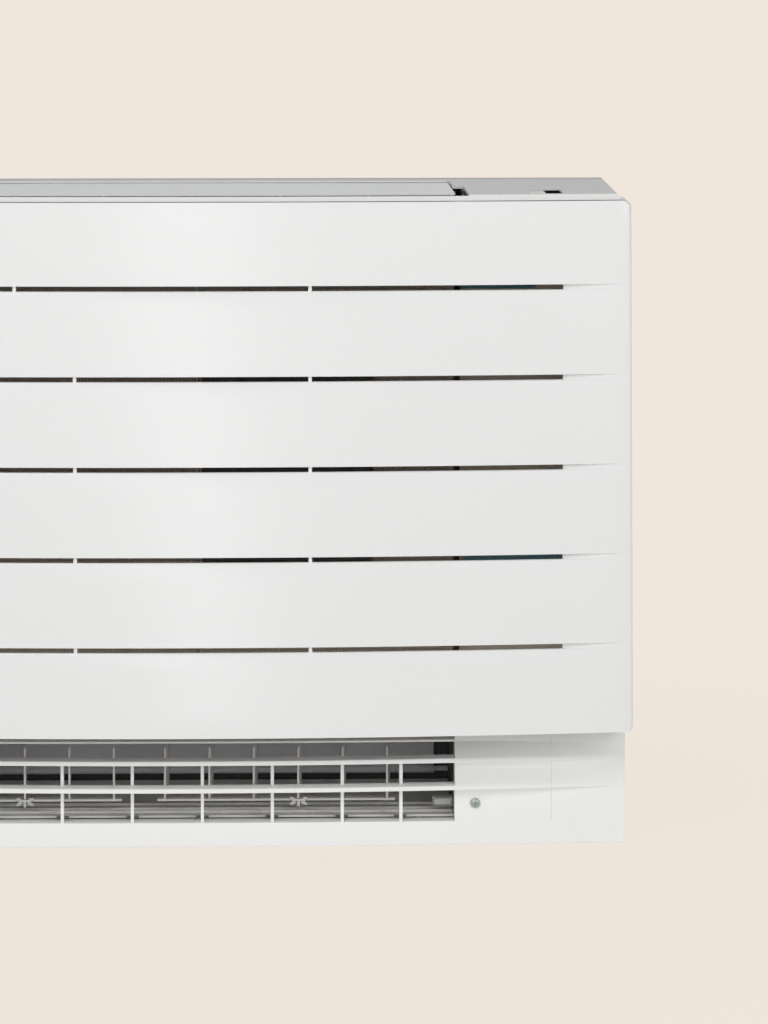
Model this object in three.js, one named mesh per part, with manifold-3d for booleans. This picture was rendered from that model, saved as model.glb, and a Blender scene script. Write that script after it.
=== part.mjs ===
// Floor standing air conditioner with a slatted front, an upper and a lower air outlet.
// Millimetres. X to the right seen from the front, Y to the back, Z up.
// The origin is on the floor, in the middle of the footprint.
import * as THREE from "three";
import { mergeVertices } from "three/addons/utils/BufferGeometryUtils.js";
import Module from "manifold-3d";

const wasm = await Module();
wasm.setup();

// ---------------------------------------------------------------- clearances
const SEAT = 0.3; // between pieces that touch
const PLAY = 0.3; // around a pin in its hole, on the radius
const SWING = 1.2; // beside a piece that turns

// ---------------------------------------------------------------- width
const WIDTH = 800; // front panel at its lower edge
const SIDE_INSET = 4.3; // casing behind the edge of the panel
const CORNER = 12; // slanted upper corners
const OUTLET_HALF = 239; // lower outlet, half its width
const TOP_OUTLET_EXTRA = 10.5; // upper outlet past the lower one, at each end
const COIL_END_SPACE = 78; // room for pipes, left of the coil
const ELECTRONICS_GAP = 5; // from the outlet's edge to the electronics

// ---------------------------------------------------------------- height
const PANEL_BOTTOM = 110;
const LOWEST_SLAT = 78.3;
const SLAT_HEIGHT = 77.6;
const TOP_SLAT = 75.2;
const SLOT_HEIGHT = 4;
const SLOT_COUNT = 5;
const TOP_SEAM = 0.6; // between the panel and the lip of the casing
const LIP_HEIGHT = 5.5;
const LOWER_FRONT_TOP = 98; // over the outlet
const WING_TOP = 104; // beside the outlet, up behind the panel's lower edge
const SILL_HEIGHT = 22.5;
const OUTLET_LIP = 2.2; // above the lower outlet
const PAN_BOTTOM = 112;
const PAN_HEIGHT = 19;
const COIL_LIFT = 3; // coil above the floor of the pan
const COIL_TOP_SPACE = 60; // from the coil to the top of the casing
const INTAKE_MARGIN = 5; // intake above the coil

// ---------------------------------------------------------------- depth, from front to back
const BULGE_LOW = 28; // of the panel at its lower edge
const BULGE_HIGH = 17; // of the panel at its upper edge
const EDGE_LEAN = 8; // how far the panel's edges lean back at the top
const PANEL_WRAP = 48; // sides of the panel at its lower edge
const PANEL_GAP = 3; // behind the panel
const CASING_WALL = 3;
const COIL_GAP = 3;
const COIL_DEPTH = 26;
const GUIDE_GAP = 4; // between the coil and the air guide
const GUIDE_WALL = 2.5;
const FAN_GAP = 4.5; // in front of the fan
const FAN_DEPTH = 55;
const MOTOR_GAP = 6;
const MOTOR_DEPTH = 44;
const MOTOR_BOSS = 8; // behind the motor
const BACK_WALL = 3;

// ---------------------------------------------------------------- front panel
const PANEL_WALL = 2.6;
const PANEL_TAPER = 3.4; // each side, from bottom to top
const PANEL_EDGE_ROUND = 4;
const PANEL_FLANGE = 5; // turned-in upper and lower edges
const SLAT_STEP = 2.5; // upper edge of a slat lies this far behind the lower edge of the next
const SLOT_HALF = 338; // half the length of a slot
const SLOT_RIB = 3.2;
const SLOT_RIB_X = 106;
const SLOT_RIB_DEPTH = 10;
const HINGE_RISE = 4; // panel's hinge above its lower edge
const HINGE_INSET = 9; // panel's hinge in front of the rear edge of its sides
const HINGE_PIN = 6;
const HINGE_LUG = 10;
const HINGE_LUG_INSET = 24; // from the casing's side
const HINGE_LUG_HALF = 6.5;

// ---------------------------------------------------------------- base
const BASE_LEDGE = 8; // lower front moulding, depth at its ends
const BASE_BULGE = 14;
const RAIL_BULGE = 31;
const RAIL_HEIGHT = 4.4;
const RAIL_DEPTH = 20;
const RAIL_LEVELS = [52.7, 78]; // lower edges of the rails
const RIDGE_HEIGHT = 20; // slanted face above each rail, beside the outlet
const RIDGE_END = 5; // where the ridges run out, from the casing's side
const BASE_WALL = 2.6;
const BAR_WIDTH = 3;
const BAR_COUNT = 6;
const BAR_PITCH = 64;
const BAR_FIRST = -185.3;
const BAR_LAST = 188.4; // one more bar, near the right end
const BAR_DEPTH = 18;
const COVER_SEAM = 328; // between the moulding and its end covers
const SCREW_BESIDE = 19; // screws beside the outlet
const SCREW_Z = 38.8;
const SCREW_HEAD = 9.4;
const SCREW_HEAD_HEIGHT = 2.6;
const SCREW_SHANK = 3.6;
const SCREW_LENGTH = 18;
const SCREW_RECESS = 5;
const SCREW_RECESS_WIDTH = 1.3;
const BOSS_WIDTH = 16;

// ---------------------------------------------------------------- casing and chassis
const LIP_SETBACK = 2; // lip of the casing behind the panel's face
const REAR_DEPTH = 22; // rear chassis
const FRAME_BOTTOM = 130; // intake opening in the front of the casing
const INTAKE_LEFT = 300;
const INTAKE_PAST = 98; // intake past the left edge of the electronics
const FRAME_BAR = 18; // between the intake and the upper duct
const LOWER_CUT_INSET = 12; // sides of the casing beside the lower front moulding
const LOWER_CUT_RISE = 2; // the same cut above the moulding
const WINDOW_MARGIN = 4; // opening in the casing beside the upper duct
const POST = 14;
const HOUSING_WALL = 2.5;
const HOUSING_SPACE = 24.5; // from the housing's rear wall to the back of the unit

// ---------------------------------------------------------------- top flap
const FLAP_END_GAP = 12;
const FLAP_FRONT_GAP = 14;
const FLAP_RIM = 4; // casing in front of the upper outlet
const FLAP_RIM_DROP = 1.2; // this rim below the top
const FLAP_WALL = 1.6;
const FLAP_DROP = 1.3; // flap below the top of the casing
const FLAP_RISE = 1.2; // of the flap from its rear edge to its front edge
const FLAP_KNUCKLE = 5; // radius of its rolled rear edge
const FLAP_BACK = 41; // flap's rear edge to the back of the unit
const FLAP_GAP_LENGTH = 116; // length of the wide gap at each end of the flap
const FLAP_NARROW_GAP = 2;
const FLAP_PIN = 6;
const FLAP_LUG = 4;
const FLAP_LUG_HALF = 7;
const FLAP_LUG_DROP = 8; // below the pin
const FLAP_RIB_HEIGHT = 4;
const FLAP_RIB_X = [-160, -80, 0, 80, 160];

// ---------------------------------------------------------------- display and button
const DISPLAY_X = 75; // its middle, from the casing's side
const DISPLAY_WIDTH = 29;
const DISPLAY_DEPTH = 58;
const DISPLAY_FRONT = 9; // behind the front edge of the top
const DISPLAY_POCKET = 12;
const DISPLAY_WALL = 2;
const WINDOW_WIDTH = 14.2;
const WINDOW_THICK = 2.4;
const WINDOW_DROP = 1.6;
const BUTTON_DEPTH = 38;
const BUTTON_DROP = 0.9;
const BUTTON_STEM = 5;

// ---------------------------------------------------------------- lower outlet
const FLOOR_LEVEL = 25;
const FLOOR_WALL = 2;
const FLOOR_RIB = 2.2;
const FLOOR_RIB_YS = [14, 29, 52]; // ribs, from the floor's front edge
const FLOOR_FLAT = 70; // level part of the floor, from its front edge
const FLOOR_RISE = 12;
const FLOOR_START = 2; // behind the front of the casing
const FLOOR_LEG_INSET = 30; // legs from the ends, and from its front and its bend
const FLOOR_LEG = 24;
const FLOOR_LEG_STEP = 20;
const VANE_PITCH = 40.9;
const VANE_GROUP_GAP = 48.6;
const LEFT_VANES = 4;
const RIGHT_VANES = 6;
const FIRST_VANE = -195.8;
const VANE_THICK = 1.8;
const VANE_BOTTOM = 38;
const VANE_TOP = 89;
const VANE_FRONT = 20; // blade in front of its pivot
const VANE_BACK = 18; // blade behind its pivot
const VANE_SHOULDER = 14; // rounded upper front corner
const VANE_PIN = 4;
const VANE_SETBACK = 36; // pivot behind the front of the casing
const RIGHT_VANE_TURN = 5; // degrees, as the photograph shows the right group
const TIE_ARM = 16; // from a vane's pivot to its tie pin
const TIE_PIN = 2.4;
const TIE_HEIGHT = 2;
const TIE_DEPTH = 11;
const TIE_OVERHANG = 5;
const TIE_SLOT = 6;
const GRIP_WIDTH = 12;
const GRIP_HEIGHT = 7;
const GRIP_REACH = 3; // in front of the bar
const GRIP_WEB = 2.4;
const LEFT_GRIP_VANE = 1; // which vane of each group stands over the grip
const RIGHT_GRIP_VANE = 3;
const CARRIER_THICK = 2.5;
const CARRIER_GAP = 3; // above the vanes
const DAMPER_END_GAP = 13; // beside the damper plate
const DAMPER_LENGTH = 98;
const DAMPER_WALL = 2.5;
const DAMPER_AXIS_Z = 46;
const DAMPER_KNUCKLE = 4;
const DAMPER_PIN = 5;
const DAMPER_SPACE = 4; // behind the damper

// ---------------------------------------------------------------- upper outlet
const UPPER_VANES = 4; // in each group
const UPPER_VANE_PITCH = 60;
const UPPER_VANE_DROP = 40; // pivots below the top of the casing
const UPPER_VANE_ABOVE = 22;
const UPPER_VANE_BELOW = 15;
const UPPER_VANE_DEPTH = 54;
const UPPER_VANE_START = 7.5; // vanes behind the air guide
const UPPER_CARRIER_DEPTH = 5;
const UPPER_CARRIER_HEIGHT = 16;
const UPPER_TIE_ARM = 18;
const UPPER_TIE_HEIGHT = 11;
const UPPER_TIE_THICK = 2;

// ---------------------------------------------------------------- fan
const FAN_DIAMETER = 310;
const FAN_EYE = 220;
const FAN_BLADES = 7;
const FAN_BLADE_THICK = 3;
const FAN_BLADE_SWEEP = 50; // degrees
const FAN_WALL = 2.4;
const FAN_HUB = 34;
const FAN_CONE = 120; // diameter of the dished middle
const FAN_DISH = 34; // how far the hub stands forward
const SHAFT = 8;
const SHAFT_INSERT = 12; // length in the motor
const NUT = 15;
const NUT_HEIGHT = 6;
const MOTOR = 104;
const MOTOR_HOLE = 120; // in the rear wall of the housing
const BELL_LIP = 14;
const BELL_CLEARANCE = 2.5; // between the bell mouth and the fan's eye
const BELL_FLARE = 9;
const GUIDE_BEND = 3; // bend of the air guide above the intake
const TONGUE_GAP = 17;
const SCROLL_STEPS = 12;
const DUCT_SHOULDER = 150; // height at which the scroll meets the lower duct
const UPPER_SHOULDER = 76; // depth below the top at which it meets the upper duct

// ---------------------------------------------------------------- coil, pan and pipes
const TUBE_PLATE = 1.6;
const BEND_RADIUS = 12;
const BEND_TUBE = 4; // radius of the tube
const BEND_COUNT = 6;
const BEND_STUB = 3;
const PAN_WALL = 2.5;
const PAN_END_GAP = 2; // from the pan to the electronics
const PAN_OUTLET = 16;
const PAN_OUTLET_BORE = 11;
const PAN_OUTLET_LENGTH = 46;
const GAS_PIPE = 12.7;
const LIQUID_PIPE = 6.35;
const GAS_PIPE_ROW = 2; // return bends below the pipe
const LIQUID_PIPE_ROW = 1;
const GAS_PIPE_REACH = 30; // from the end of the coil to the pipe's drop
const LIQUID_PIPE_REACH = 14;
const PIPE_DROP = 90;
const PIPE_RUN = 70;

// ---------------------------------------------------------------- filters
const FILTER_LEFT_EDGE = 305;
const FILTER_SEAM = 4; // between the two filters, right of the middle
const FILTER_MARGIN = 4; // over the edge of the intake
const FILTER_END_GAP = 6; // from the right filter to the electronics
const FILTER_CELLS = 4;
const FILTER_INSET = 1.5; // ribs behind the face of the frame
const FILTER_THICK = 7.7;
const FILTER_FRAME = 7;
const FILTER_MESH = 1.2;
const FILTER_RIB = 3;
const GRIP_PLATE = 30; // height of the grip plates
const UPPER_GRIP = [-132, 50, 500]; // from X, to X, lower edge
const LOWER_GRIP = [-59, 123, 165];
const CASSETTE = { left: 9, right: 164, bottom: 250, top: 450, thick: 5, rows: 5 };
const CASSETTE_CELL = { inset: 5, half: 14, deep: 1.5 };

// ---------------------------------------------------------------- electronics
const BOX_INSET = 18; // box behind the left edge of its cover
const BOX_WALL = 1.5;
const BOX_DEPTH = 84;
const BOX_BOTTOM = 160;
const BOX_TOP_SPACE = 60;
const COVER_GAP = 1; // in front of the coil
const COVER_THICK = 1.5;
const COVER_BELOW = 10; // cover past the box, below and above
const COVER_ABOVE = 2;
const BLUE_THICK = 5;
const CABLE_COVER = { width: 69, bottom: 510.8, height: 20 };
const TERMINAL_COVER = { inset: 5, width: 89, bottom: 250, height: 26 };
const BOARD = { width: 96, height: 220, thick: 1.6, lift: 10, bottom: 260 };
const BOARD_STANDOFF = { inset: 8, diameter: 5 };
const BOARD_CANS = { x: 24, z: [40, 72], height: 26, diameter: 22 };
const BOARD_BLOCKS = [
  { x: [50, 84], z: [20, 58], height: 18 },
  { x: [20, 60], z: [110, 150], height: 12 },
  { x: [14, 80], z: [190, 200], height: 8 },
];
const TERMINAL = { width: 70, height: 24, depth: 18, bottom: 200, count: 4, hole: 9, deep: 8 };
const MOTOR_BODY = 28;
const MOTOR_BODY_LENGTH = 18;

// ---------------------------------------------------------------- worked out from the above
const CASING_HALF = WIDTH / 2 - SIDE_INSET;
const INNER_HALF = CASING_HALF - CASING_WALL;
const PANEL_TOP =
  PANEL_BOTTOM + LOWEST_SLAT + SLAT_HEIGHT * (SLOT_COUNT - 1) + TOP_SLAT + SLOT_HEIGHT * SLOT_COUNT;
const LIP_BOTTOM = PANEL_TOP + TOP_SEAM;
const HEIGHT = LIP_BOTTOM + LIP_HEIGHT;
const TOP_INSIDE = HEIGHT - CASING_WALL;

const CASING_FROM_FRONT = BULGE_LOW + PANEL_WRAP + PANEL_GAP;
const COIL_FROM_FRONT = CASING_FROM_FRONT + CASING_WALL + COIL_GAP;
const GUIDE_FROM_FRONT = COIL_FROM_FRONT + COIL_DEPTH + GUIDE_GAP;
const FAN_FROM_FRONT = GUIDE_FROM_FRONT + GUIDE_WALL + FAN_GAP;
const MOTOR_FROM_FRONT = FAN_FROM_FRONT + FAN_DEPTH + MOTOR_GAP;
const DEPTH = MOTOR_FROM_FRONT + MOTOR_DEPTH + MOTOR_BOSS + BACK_WALL;
const FRONT = -DEPTH / 2;
const BACK = DEPTH / 2;
const PANEL_EDGE = FRONT + BULGE_LOW;
const PANEL_REAR = PANEL_EDGE + PANEL_WRAP;
const CASING_FRONT = FRONT + CASING_FROM_FRONT;
const CASING_REAR = BACK - REAR_DEPTH;
const COIL_FRONT = FRONT + COIL_FROM_FRONT;
const GUIDE_FRONT = FRONT + GUIDE_FROM_FRONT;
const GUIDE_REAR = GUIDE_FRONT + GUIDE_WALL;
const FAN_FRONT = FRONT + FAN_FROM_FRONT;
const FAN_REAR = FAN_FRONT + FAN_DEPTH;
const MOTOR_FRONT = FRONT + MOTOR_FROM_FRONT;
const MOTOR_REAR = MOTOR_FRONT + MOTOR_DEPTH;
const HOUSING_REAR = BACK - HOUSING_SPACE;
const HOUSING_INSIDE = HOUSING_REAR - HOUSING_WALL;
const BASE_EDGE = CASING_FRONT - BASE_LEDGE;
const BASE_REAR = CASING_FRONT - SEAT;

const COIL_BOTTOM = PAN_BOTTOM + COIL_LIFT + PAN_HEIGHT;
const COIL_TOP = HEIGHT - COIL_TOP_SPACE;
const COIL_LEFT = -(CASING_HALF - COIL_END_SPACE);
const ELECTRONICS_LEFT = OUTLET_HALF + ELECTRONICS_GAP;
const SCREW_X = OUTLET_HALF + SCREW_BESIDE;
const INTAKE_RIGHT = ELECTRONICS_LEFT + INTAKE_PAST;
const TOP_OUTLET_HALF = OUTLET_HALF + TOP_OUTLET_EXTRA;
const DAMPER_HALF = OUTLET_HALF - DAMPER_END_GAP;
const BEND_REACH = BEND_STUB + BEND_RADIUS + BEND_TUBE;
const COIL_RIGHT = ELECTRONICS_LEFT - BEND_REACH - TUBE_PLATE;
const INTAKE_TOP = COIL_TOP + INTAKE_MARGIN;
const DUCT_WINDOW = INTAKE_TOP + FRAME_BAR;
const FAN_Z = (COIL_BOTTOM + COIL_TOP) / 2;
const HINGE_Y = PANEL_REAR - HINGE_INSET;
const HINGE_Z = PANEL_BOTTOM + HINGE_RISE;
const OUTLET_TOP = LOWER_FRONT_TOP - OUTLET_LIP;
const TOP_DUCT_HALF = TOP_OUTLET_HALF - 2;
const FLAP_HALF = TOP_OUTLET_HALF - FLAP_END_GAP;
const FLAP_REAR = BACK - FLAP_BACK;
const FLAP_AXIS_Y = FLAP_REAR - FLAP_KNUCKLE;
const FLAP_TOP = HEIGHT - FLAP_DROP;
const FLAP_AXIS_Z = FLAP_TOP - FLAP_KNUCKLE;
const VANE_Y = CASING_FRONT + VANE_SETBACK;
const DAMPER_Y = HOUSING_INSIDE - DAMPER_KNUCKLE - DAMPER_SPACE;
const UPPER_VANE_Z = HEIGHT - UPPER_VANE_DROP;
const UPPER_VANE_FRONT = GUIDE_REAR + UPPER_VANE_START;
const UPPER_VANE_REAR = UPPER_VANE_FRONT + UPPER_VANE_DEPTH;
const FILTER_FRONT = CASING_FRONT - SEAT - FILTER_THICK;
const COVER_REAR = COIL_FRONT - COVER_GAP;

// ---------------------------------------------------------------- helpers
// A closed geometry as a solid that can be joined and cut.
function solid(geometry) {
  const bare = geometry.clone();
  bare.deleteAttribute("normal");
  bare.deleteAttribute("uv");
  const merged = mergeVertices(bare, 1e-4);
  const corners = [];
  const index = merged.index.array;
  for (let i = 0; i < index.length; i += 3) {
    const [a, b, c] = [index[i], index[i + 1], index[i + 2]];
    if (a !== b && b !== c && c !== a) corners.push(a, b, c);
  }
  const vertProperties = merged.attributes.position.array;
  return new wasm.Manifold(
    new wasm.Mesh({ numProp: 3, vertProperties, triVerts: new Uint32Array(corners) }),
  );
}

const join = (...bodies) => bodies.reduce((a, b) => a.add(b));
const cut = (body, ...tools) => tools.reduce((a, b) => a.subtract(b), body);

function box(x0, x1, y0, y1, z0, z1) {
  const geometry = new THREE.BoxGeometry(x1 - x0, y1 - y0, z1 - z0);
  return solid(geometry.translate((x0 + x1) / 2, (y0 + y1) / 2, (z0 + z1) / 2));
}

// Outlines are lists of [u, v]; a prism along X has them in YZ, along Y in XZ, along Z in XY.
function extrude(points, length) {
  const shape = new THREE.Shape(points.map(([u, v]) => new THREE.Vector2(u, v)));
  return new THREE.ExtrudeGeometry(shape, { depth: length, bevelEnabled: false });
}

function prismX(points, x0, x1) {
  const turn = new THREE.Matrix4().makeBasis(
    new THREE.Vector3(0, 1, 0),
    new THREE.Vector3(0, 0, 1),
    new THREE.Vector3(1, 0, 0),
  );
  return solid(extrude(points, x1 - x0).applyMatrix4(turn).translate(x0, 0, 0));
}

function prismY(points, y0, y1) {
  return solid(extrude(points, y1 - y0).rotateX(Math.PI / 2).translate(0, y1, 0));
}

function prismZ(points, z0, z1) {
  return solid(extrude(points, z1 - z0).translate(0, 0, z0));
}

function rodX(x0, x1, y, z, diameter, sides = 12) {
  const rod = new THREE.CylinderGeometry(diameter / 2, diameter / 2, x1 - x0, sides);
  return solid(rod.rotateZ(Math.PI / 2).translate((x0 + x1) / 2, y, z));
}

function rodY(y0, y1, x, z, diameter, sides = 12) {
  const rod = new THREE.CylinderGeometry(diameter / 2, diameter / 2, y1 - y0, sides);
  return solid(rod.translate(x, (y0 + y1) / 2, z));
}

function rodZ(z0, z1, x, y, diameter, sides = 12) {
  const rod = new THREE.CylinderGeometry(diameter / 2, diameter / 2, z1 - z0, sides);
  return solid(rod.rotateX(Math.PI / 2).translate(x, y, (z0 + z1) / 2));
}

// Turned about an axis along Y through (x, z); the profile is a list of [radius, y].
function turned(profile, x, z, sides = 28) {
  const points = profile.map(([r, y]) => new THREE.Vector2(r, y));
  return solid(new THREE.LatheGeometry(points, sides).translate(x, 0, z));
}

function tube(points, diameter, sides, steps) {
  const shape = new THREE.Shape();
  for (let i = 0; i < sides; i++) {
    const angle = (2 * Math.PI * i) / sides;
    const [u, v] = [(diameter / 2) * Math.cos(angle), (diameter / 2) * Math.sin(angle)];
    if (i) shape.lineTo(u, v);
    else shape.moveTo(u, v);
  }
  const path = new THREE.CatmullRomCurve3(points.map((p) => new THREE.Vector3(...p)));
  return solid(new THREE.ExtrudeGeometry(shape, { steps, extrudePath: path }));
}

// A skin over rings of [x, y, z] with equal counts, closed at both ends; u and v are the
// two coordinates in which an end is flat.
function loft(rings, u, v) {
  const count = rings[0].length;
  const positions = rings.flat(2);
  const flat = rings[0].map((p) => new THREE.Vector2(p[u], p[v]));
  const area = THREE.ShapeUtils.area(flat);
  const faces = [];
  for (let i = 0; i + 1 < rings.length; i++)
    for (let j = 0; j < count; j++) {
      const [a, b] = [i * count + j, i * count + ((j + 1) % count)];
      faces.push(a, b, b + count, a, b + count, a + count);
    }
  for (const [a, b, c] of THREE.ShapeUtils.triangulateShape(flat, [])) {
    const same = THREE.ShapeUtils.area([flat[a], flat[b], flat[c]]) * area > 0;
    const [p, q] = same ? [b, c] : [c, b];
    const last = (rings.length - 1) * count;
    faces.push(a, q, p, last + a, last + p, last + q);
  }
  const geometry = new THREE.BufferGeometry();
  geometry.setAttribute("position", new THREE.Float32BufferAttribute(positions, 3));
  geometry.setIndex(faces);
  const body = solid(geometry);
  if (body.volume() > 0) return body;
  geometry.setIndex(faces.reverse());
  return solid(geometry);
}

// A skin along X: section(x) gives the outline in YZ at that place.
function loftX(section, x0, x1, steps) {
  const rings = [];
  for (let i = 0; i <= steps; i++) {
    const x = x0 + ((x1 - x0) * i) / steps;
    rings.push(section(x).map(([y, z]) => [x, y, z]));
  }
  return loft(rings, 1, 2);
}

const unit = new THREE.Group();

function finish(color, roughness, metalness = 0) {
  return () => new THREE.MeshStandardMaterial({ color, roughness, metalness });
}

const WHITE = finish(0xe9ebea, 0.4);
const TOP_WHITE = finish(0xd9dada, 0.4);
const DUCT_GREY = finish(0x8f8f92, 0.6);
const DARK_PLASTIC = finish(0x3a3838, 0.6);
const MESH_GREY = finish(0x4a4541, 0.8);
const STEEL = finish(0xb3aea4, 0.45, 0.8);
const COPPER = finish(0xb87850, 0.35, 1);
const ALUMINIUM = finish(0xc8ccd0, 0.45, 0.9);
const BLUE_GREEN = finish(0x2c5f6e, 0.5);
const BOARD_GREEN = finish(0x2f5b3c, 0.5);
const BLACK_GLOSS = finish(0x0b0b0d, 0.1);

function mesh(name, body, material) {
  const found = body.getMesh();
  const stride = found.numProp;
  const positions = [];
  for (let i = 0; i < found.numVert; i++)
    positions.push(...found.vertProperties.subarray(i * stride, i * stride + 3));
  const geometry = new THREE.BufferGeometry();
  geometry.setAttribute("position", new THREE.Float32BufferAttribute(positions, 3));
  geometry.setIndex([...found.triVerts]);
  geometry.computeVertexNormals();
  const made = new THREE.Mesh(geometry, material());
  made.name = name;
  return made;
}

function add(name, body, material) {
  unit.add(mesh(name, body, material));
}

// ---------------------------------------------------------------- curved faces
const bow = (x, half, depth) => depth * (1 - (x / half) ** 2);
const climb = (z) => (z - PANEL_BOTTOM) / (PANEL_TOP - PANEL_BOTTOM);
const panelHalf = (z) => WIDTH / 2 - PANEL_TAPER * climb(z);
const panelBulge = (z) => BULGE_LOW + (BULGE_HIGH - BULGE_LOW) * climb(z);
const panelFront = (x, z) =>
  PANEL_EDGE + EDGE_LEAN * climb(z) - bow(x, panelHalf(z), panelBulge(z));
const topFront = (x) => panelFront((x * panelHalf(PANEL_TOP)) / CASING_HALF, PANEL_TOP) + LIP_SETBACK;
const baseFront = (x) => BASE_EDGE - bow(x, CASING_HALF, BASE_BULGE);
const railFront = (x) => BASE_EDGE - bow(x, CASING_HALF, RAIL_BULGE);
const slotBottom = (i) => PANEL_BOTTOM + LOWEST_SLAT + i * (SLAT_HEIGHT + SLOT_HEIGHT);
const ARC_STEPS = 12;

// Front view of the unit, with its slanted upper corners, drawn in by an inset.
function frontView(inset, bottom) {
  const half = CASING_HALF - inset;
  const top = HEIGHT - inset;
  const corner = CORNER - inset * (2 - Math.SQRT2);
  return [
    [-half, bottom],
    [half, bottom],
    [half, top - corner],
    [half - corner, top],
    [-half + corner, top],
    [-half, top - corner],
  ];
}

// ---------------------------------------------------------------- front panel
// Plan of the panel at one height: its face, its sides, and the same drawn in by a wall.
function panelRing(z, recess, wall, rear) {
  const half = panelHalf(z);
  const face = (x) => panelFront(x, z) + recess * (1 - (x / half) ** 2);
  const round = PANEL_EDGE_ROUND;
  const outer = [
    [-half, rear],
    [-half, face(half) + round],
    [-half + 0.3 * round, face(half) + 0.3 * round],
  ];
  const inner = [];
  for (let i = 0; i <= ARC_STEPS; i++) {
    const across = -1 + (2 * i) / ARC_STEPS;
    const [xo, xi] = [across * (half - round), across * (half - wall)];
    outer.push([xo, face(xo)]);
    inner.unshift([xi, face(xi) + wall]);
  }
  outer.push([half - 0.3 * round, face(half) + 0.3 * round], [half, face(half) + round]);
  outer.push([half, rear]);
  inner.unshift([half - wall, rear]);
  inner.push([-half + wall, rear]);
  return [...outer, ...inner].map(([x, y]) => [x, y, z]);
}

function frontPanel() {
  let body;
  for (let i = 0; i <= SLOT_COUNT; i++) {
    const low = i ? slotBottom(i - 1) : PANEL_BOTTOM;
    const high = i < SLOT_COUNT ? slotBottom(i) : PANEL_TOP;
    const recess = i < SLOT_COUNT ? SLAT_STEP : 0;
    const slat = loft(
      [panelRing(low, 0, PANEL_WALL, PANEL_REAR), panelRing(high, recess, PANEL_WALL, PANEL_REAR)],
      0,
      1,
    );
    body = body ? join(body, slat) : slat;
  }
  for (const [low, high] of [
    [PANEL_BOTTOM, PANEL_BOTTOM + PANEL_WALL],
    [PANEL_TOP - PANEL_WALL, PANEL_TOP],
  ])
    body = join(
      body,
      loft(
        [panelRing(low, 0, PANEL_FLANGE, PANEL_REAR), panelRing(high, 0, PANEL_FLANGE, PANEL_REAR)],
        0,
        1,
      ),
    );
  for (let i = 0; i < SLOT_COUNT; i++) {
    const z = slotBottom(i);
    body = cut(body, box(-SLOT_HALF, SLOT_HALF, FRONT - 1, PANEL_REAR - 1, z, z + SLOT_HEIGHT));
  }
  for (const x of [-SLOT_RIB_X, SLOT_RIB_X]) {
    const ring = (z) => {
      const face = panelFront(x, z) + SLAT_STEP + SEAT;
      const [left, right] = [x - SLOT_RIB / 2, x + SLOT_RIB / 2];
      const rear = face + SLOT_RIB_DEPTH;
      return [
        [left, face, z],
        [right, face, z],
        [right, rear, z],
        [left, rear, z],
      ];
    };
    const ribTop = slotBottom(SLOT_COUNT - 1) + SLOT_HEIGHT + SLOT_RIB_DEPTH;
    body = join(body, loft([ring(PANEL_BOTTOM + 1), ring(ribTop)], 0, 1));
  }
  const corners = prismY(frontView(-panelHalf(PANEL_TOP) + CASING_HALF, 0), FRONT - 1, BACK);
  const lower = box(-WIDTH, WIDTH, FRONT - 1, BACK, 0, HEIGHT - 2 * CORNER);
  body = body.intersect(join(corners, lower));
  const pinEnd = CASING_HALF - HINGE_LUG_INSET - HINGE_LUG;
  for (const side of [-1, 1]) {
    const ends = [side * pinEnd, side * (WIDTH / 2 - PANEL_WALL / 2)].sort((a, b) => a - b);
    body = join(body, rodX(ends[0], ends[1], HINGE_Y, HINGE_Z, HINGE_PIN));
  }
  add("front_panel", body, WHITE);
}

// ---------------------------------------------------------------- front casing
function topShelf() {
  const drop = CASING_WALL;
  const section = (x) => {
    const front = topFront(x);
    return [
      [front, LIP_BOTTOM],
      [front, HEIGHT],
      [CASING_FRONT + 1, HEIGHT],
      [CASING_FRONT + 1, TOP_INSIDE],
      [front + drop, TOP_INSIDE],
      [front + drop, LIP_BOTTOM],
    ];
  };
  const shelf = loftX(section, -CASING_HALF, CASING_HALF, ARC_STEPS);
  return shelf.intersect(prismY(frontView(0, 0), FRONT, BACK));
}

// Plan of the upper outlet in the top of the casing.
function topOpening() {
  const wide = TOP_OUTLET_HALF;
  const narrow = FLAP_HALF + FLAP_NARROW_GAP;
  const turn = topFront(0) + FLAP_RIM + FLAP_GAP_LENGTH;
  const points = [];
  for (let i = 0; i <= ARC_STEPS; i++) {
    const x = -wide + (2 * wide * i) / ARC_STEPS;
    points.push([x, topFront(x) + FLAP_RIM]);
  }
  points.push([wide, turn], [narrow, turn], [narrow, FLAP_REAR + SWING]);
  points.push([-narrow, FLAP_REAR + SWING], [-narrow, turn], [-wide, turn]);
  return points;
}

const displayX = () => CASING_HALF - DISPLAY_X;
const displayFront = () => topFront(displayX()) + DISPLAY_FRONT;

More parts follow.
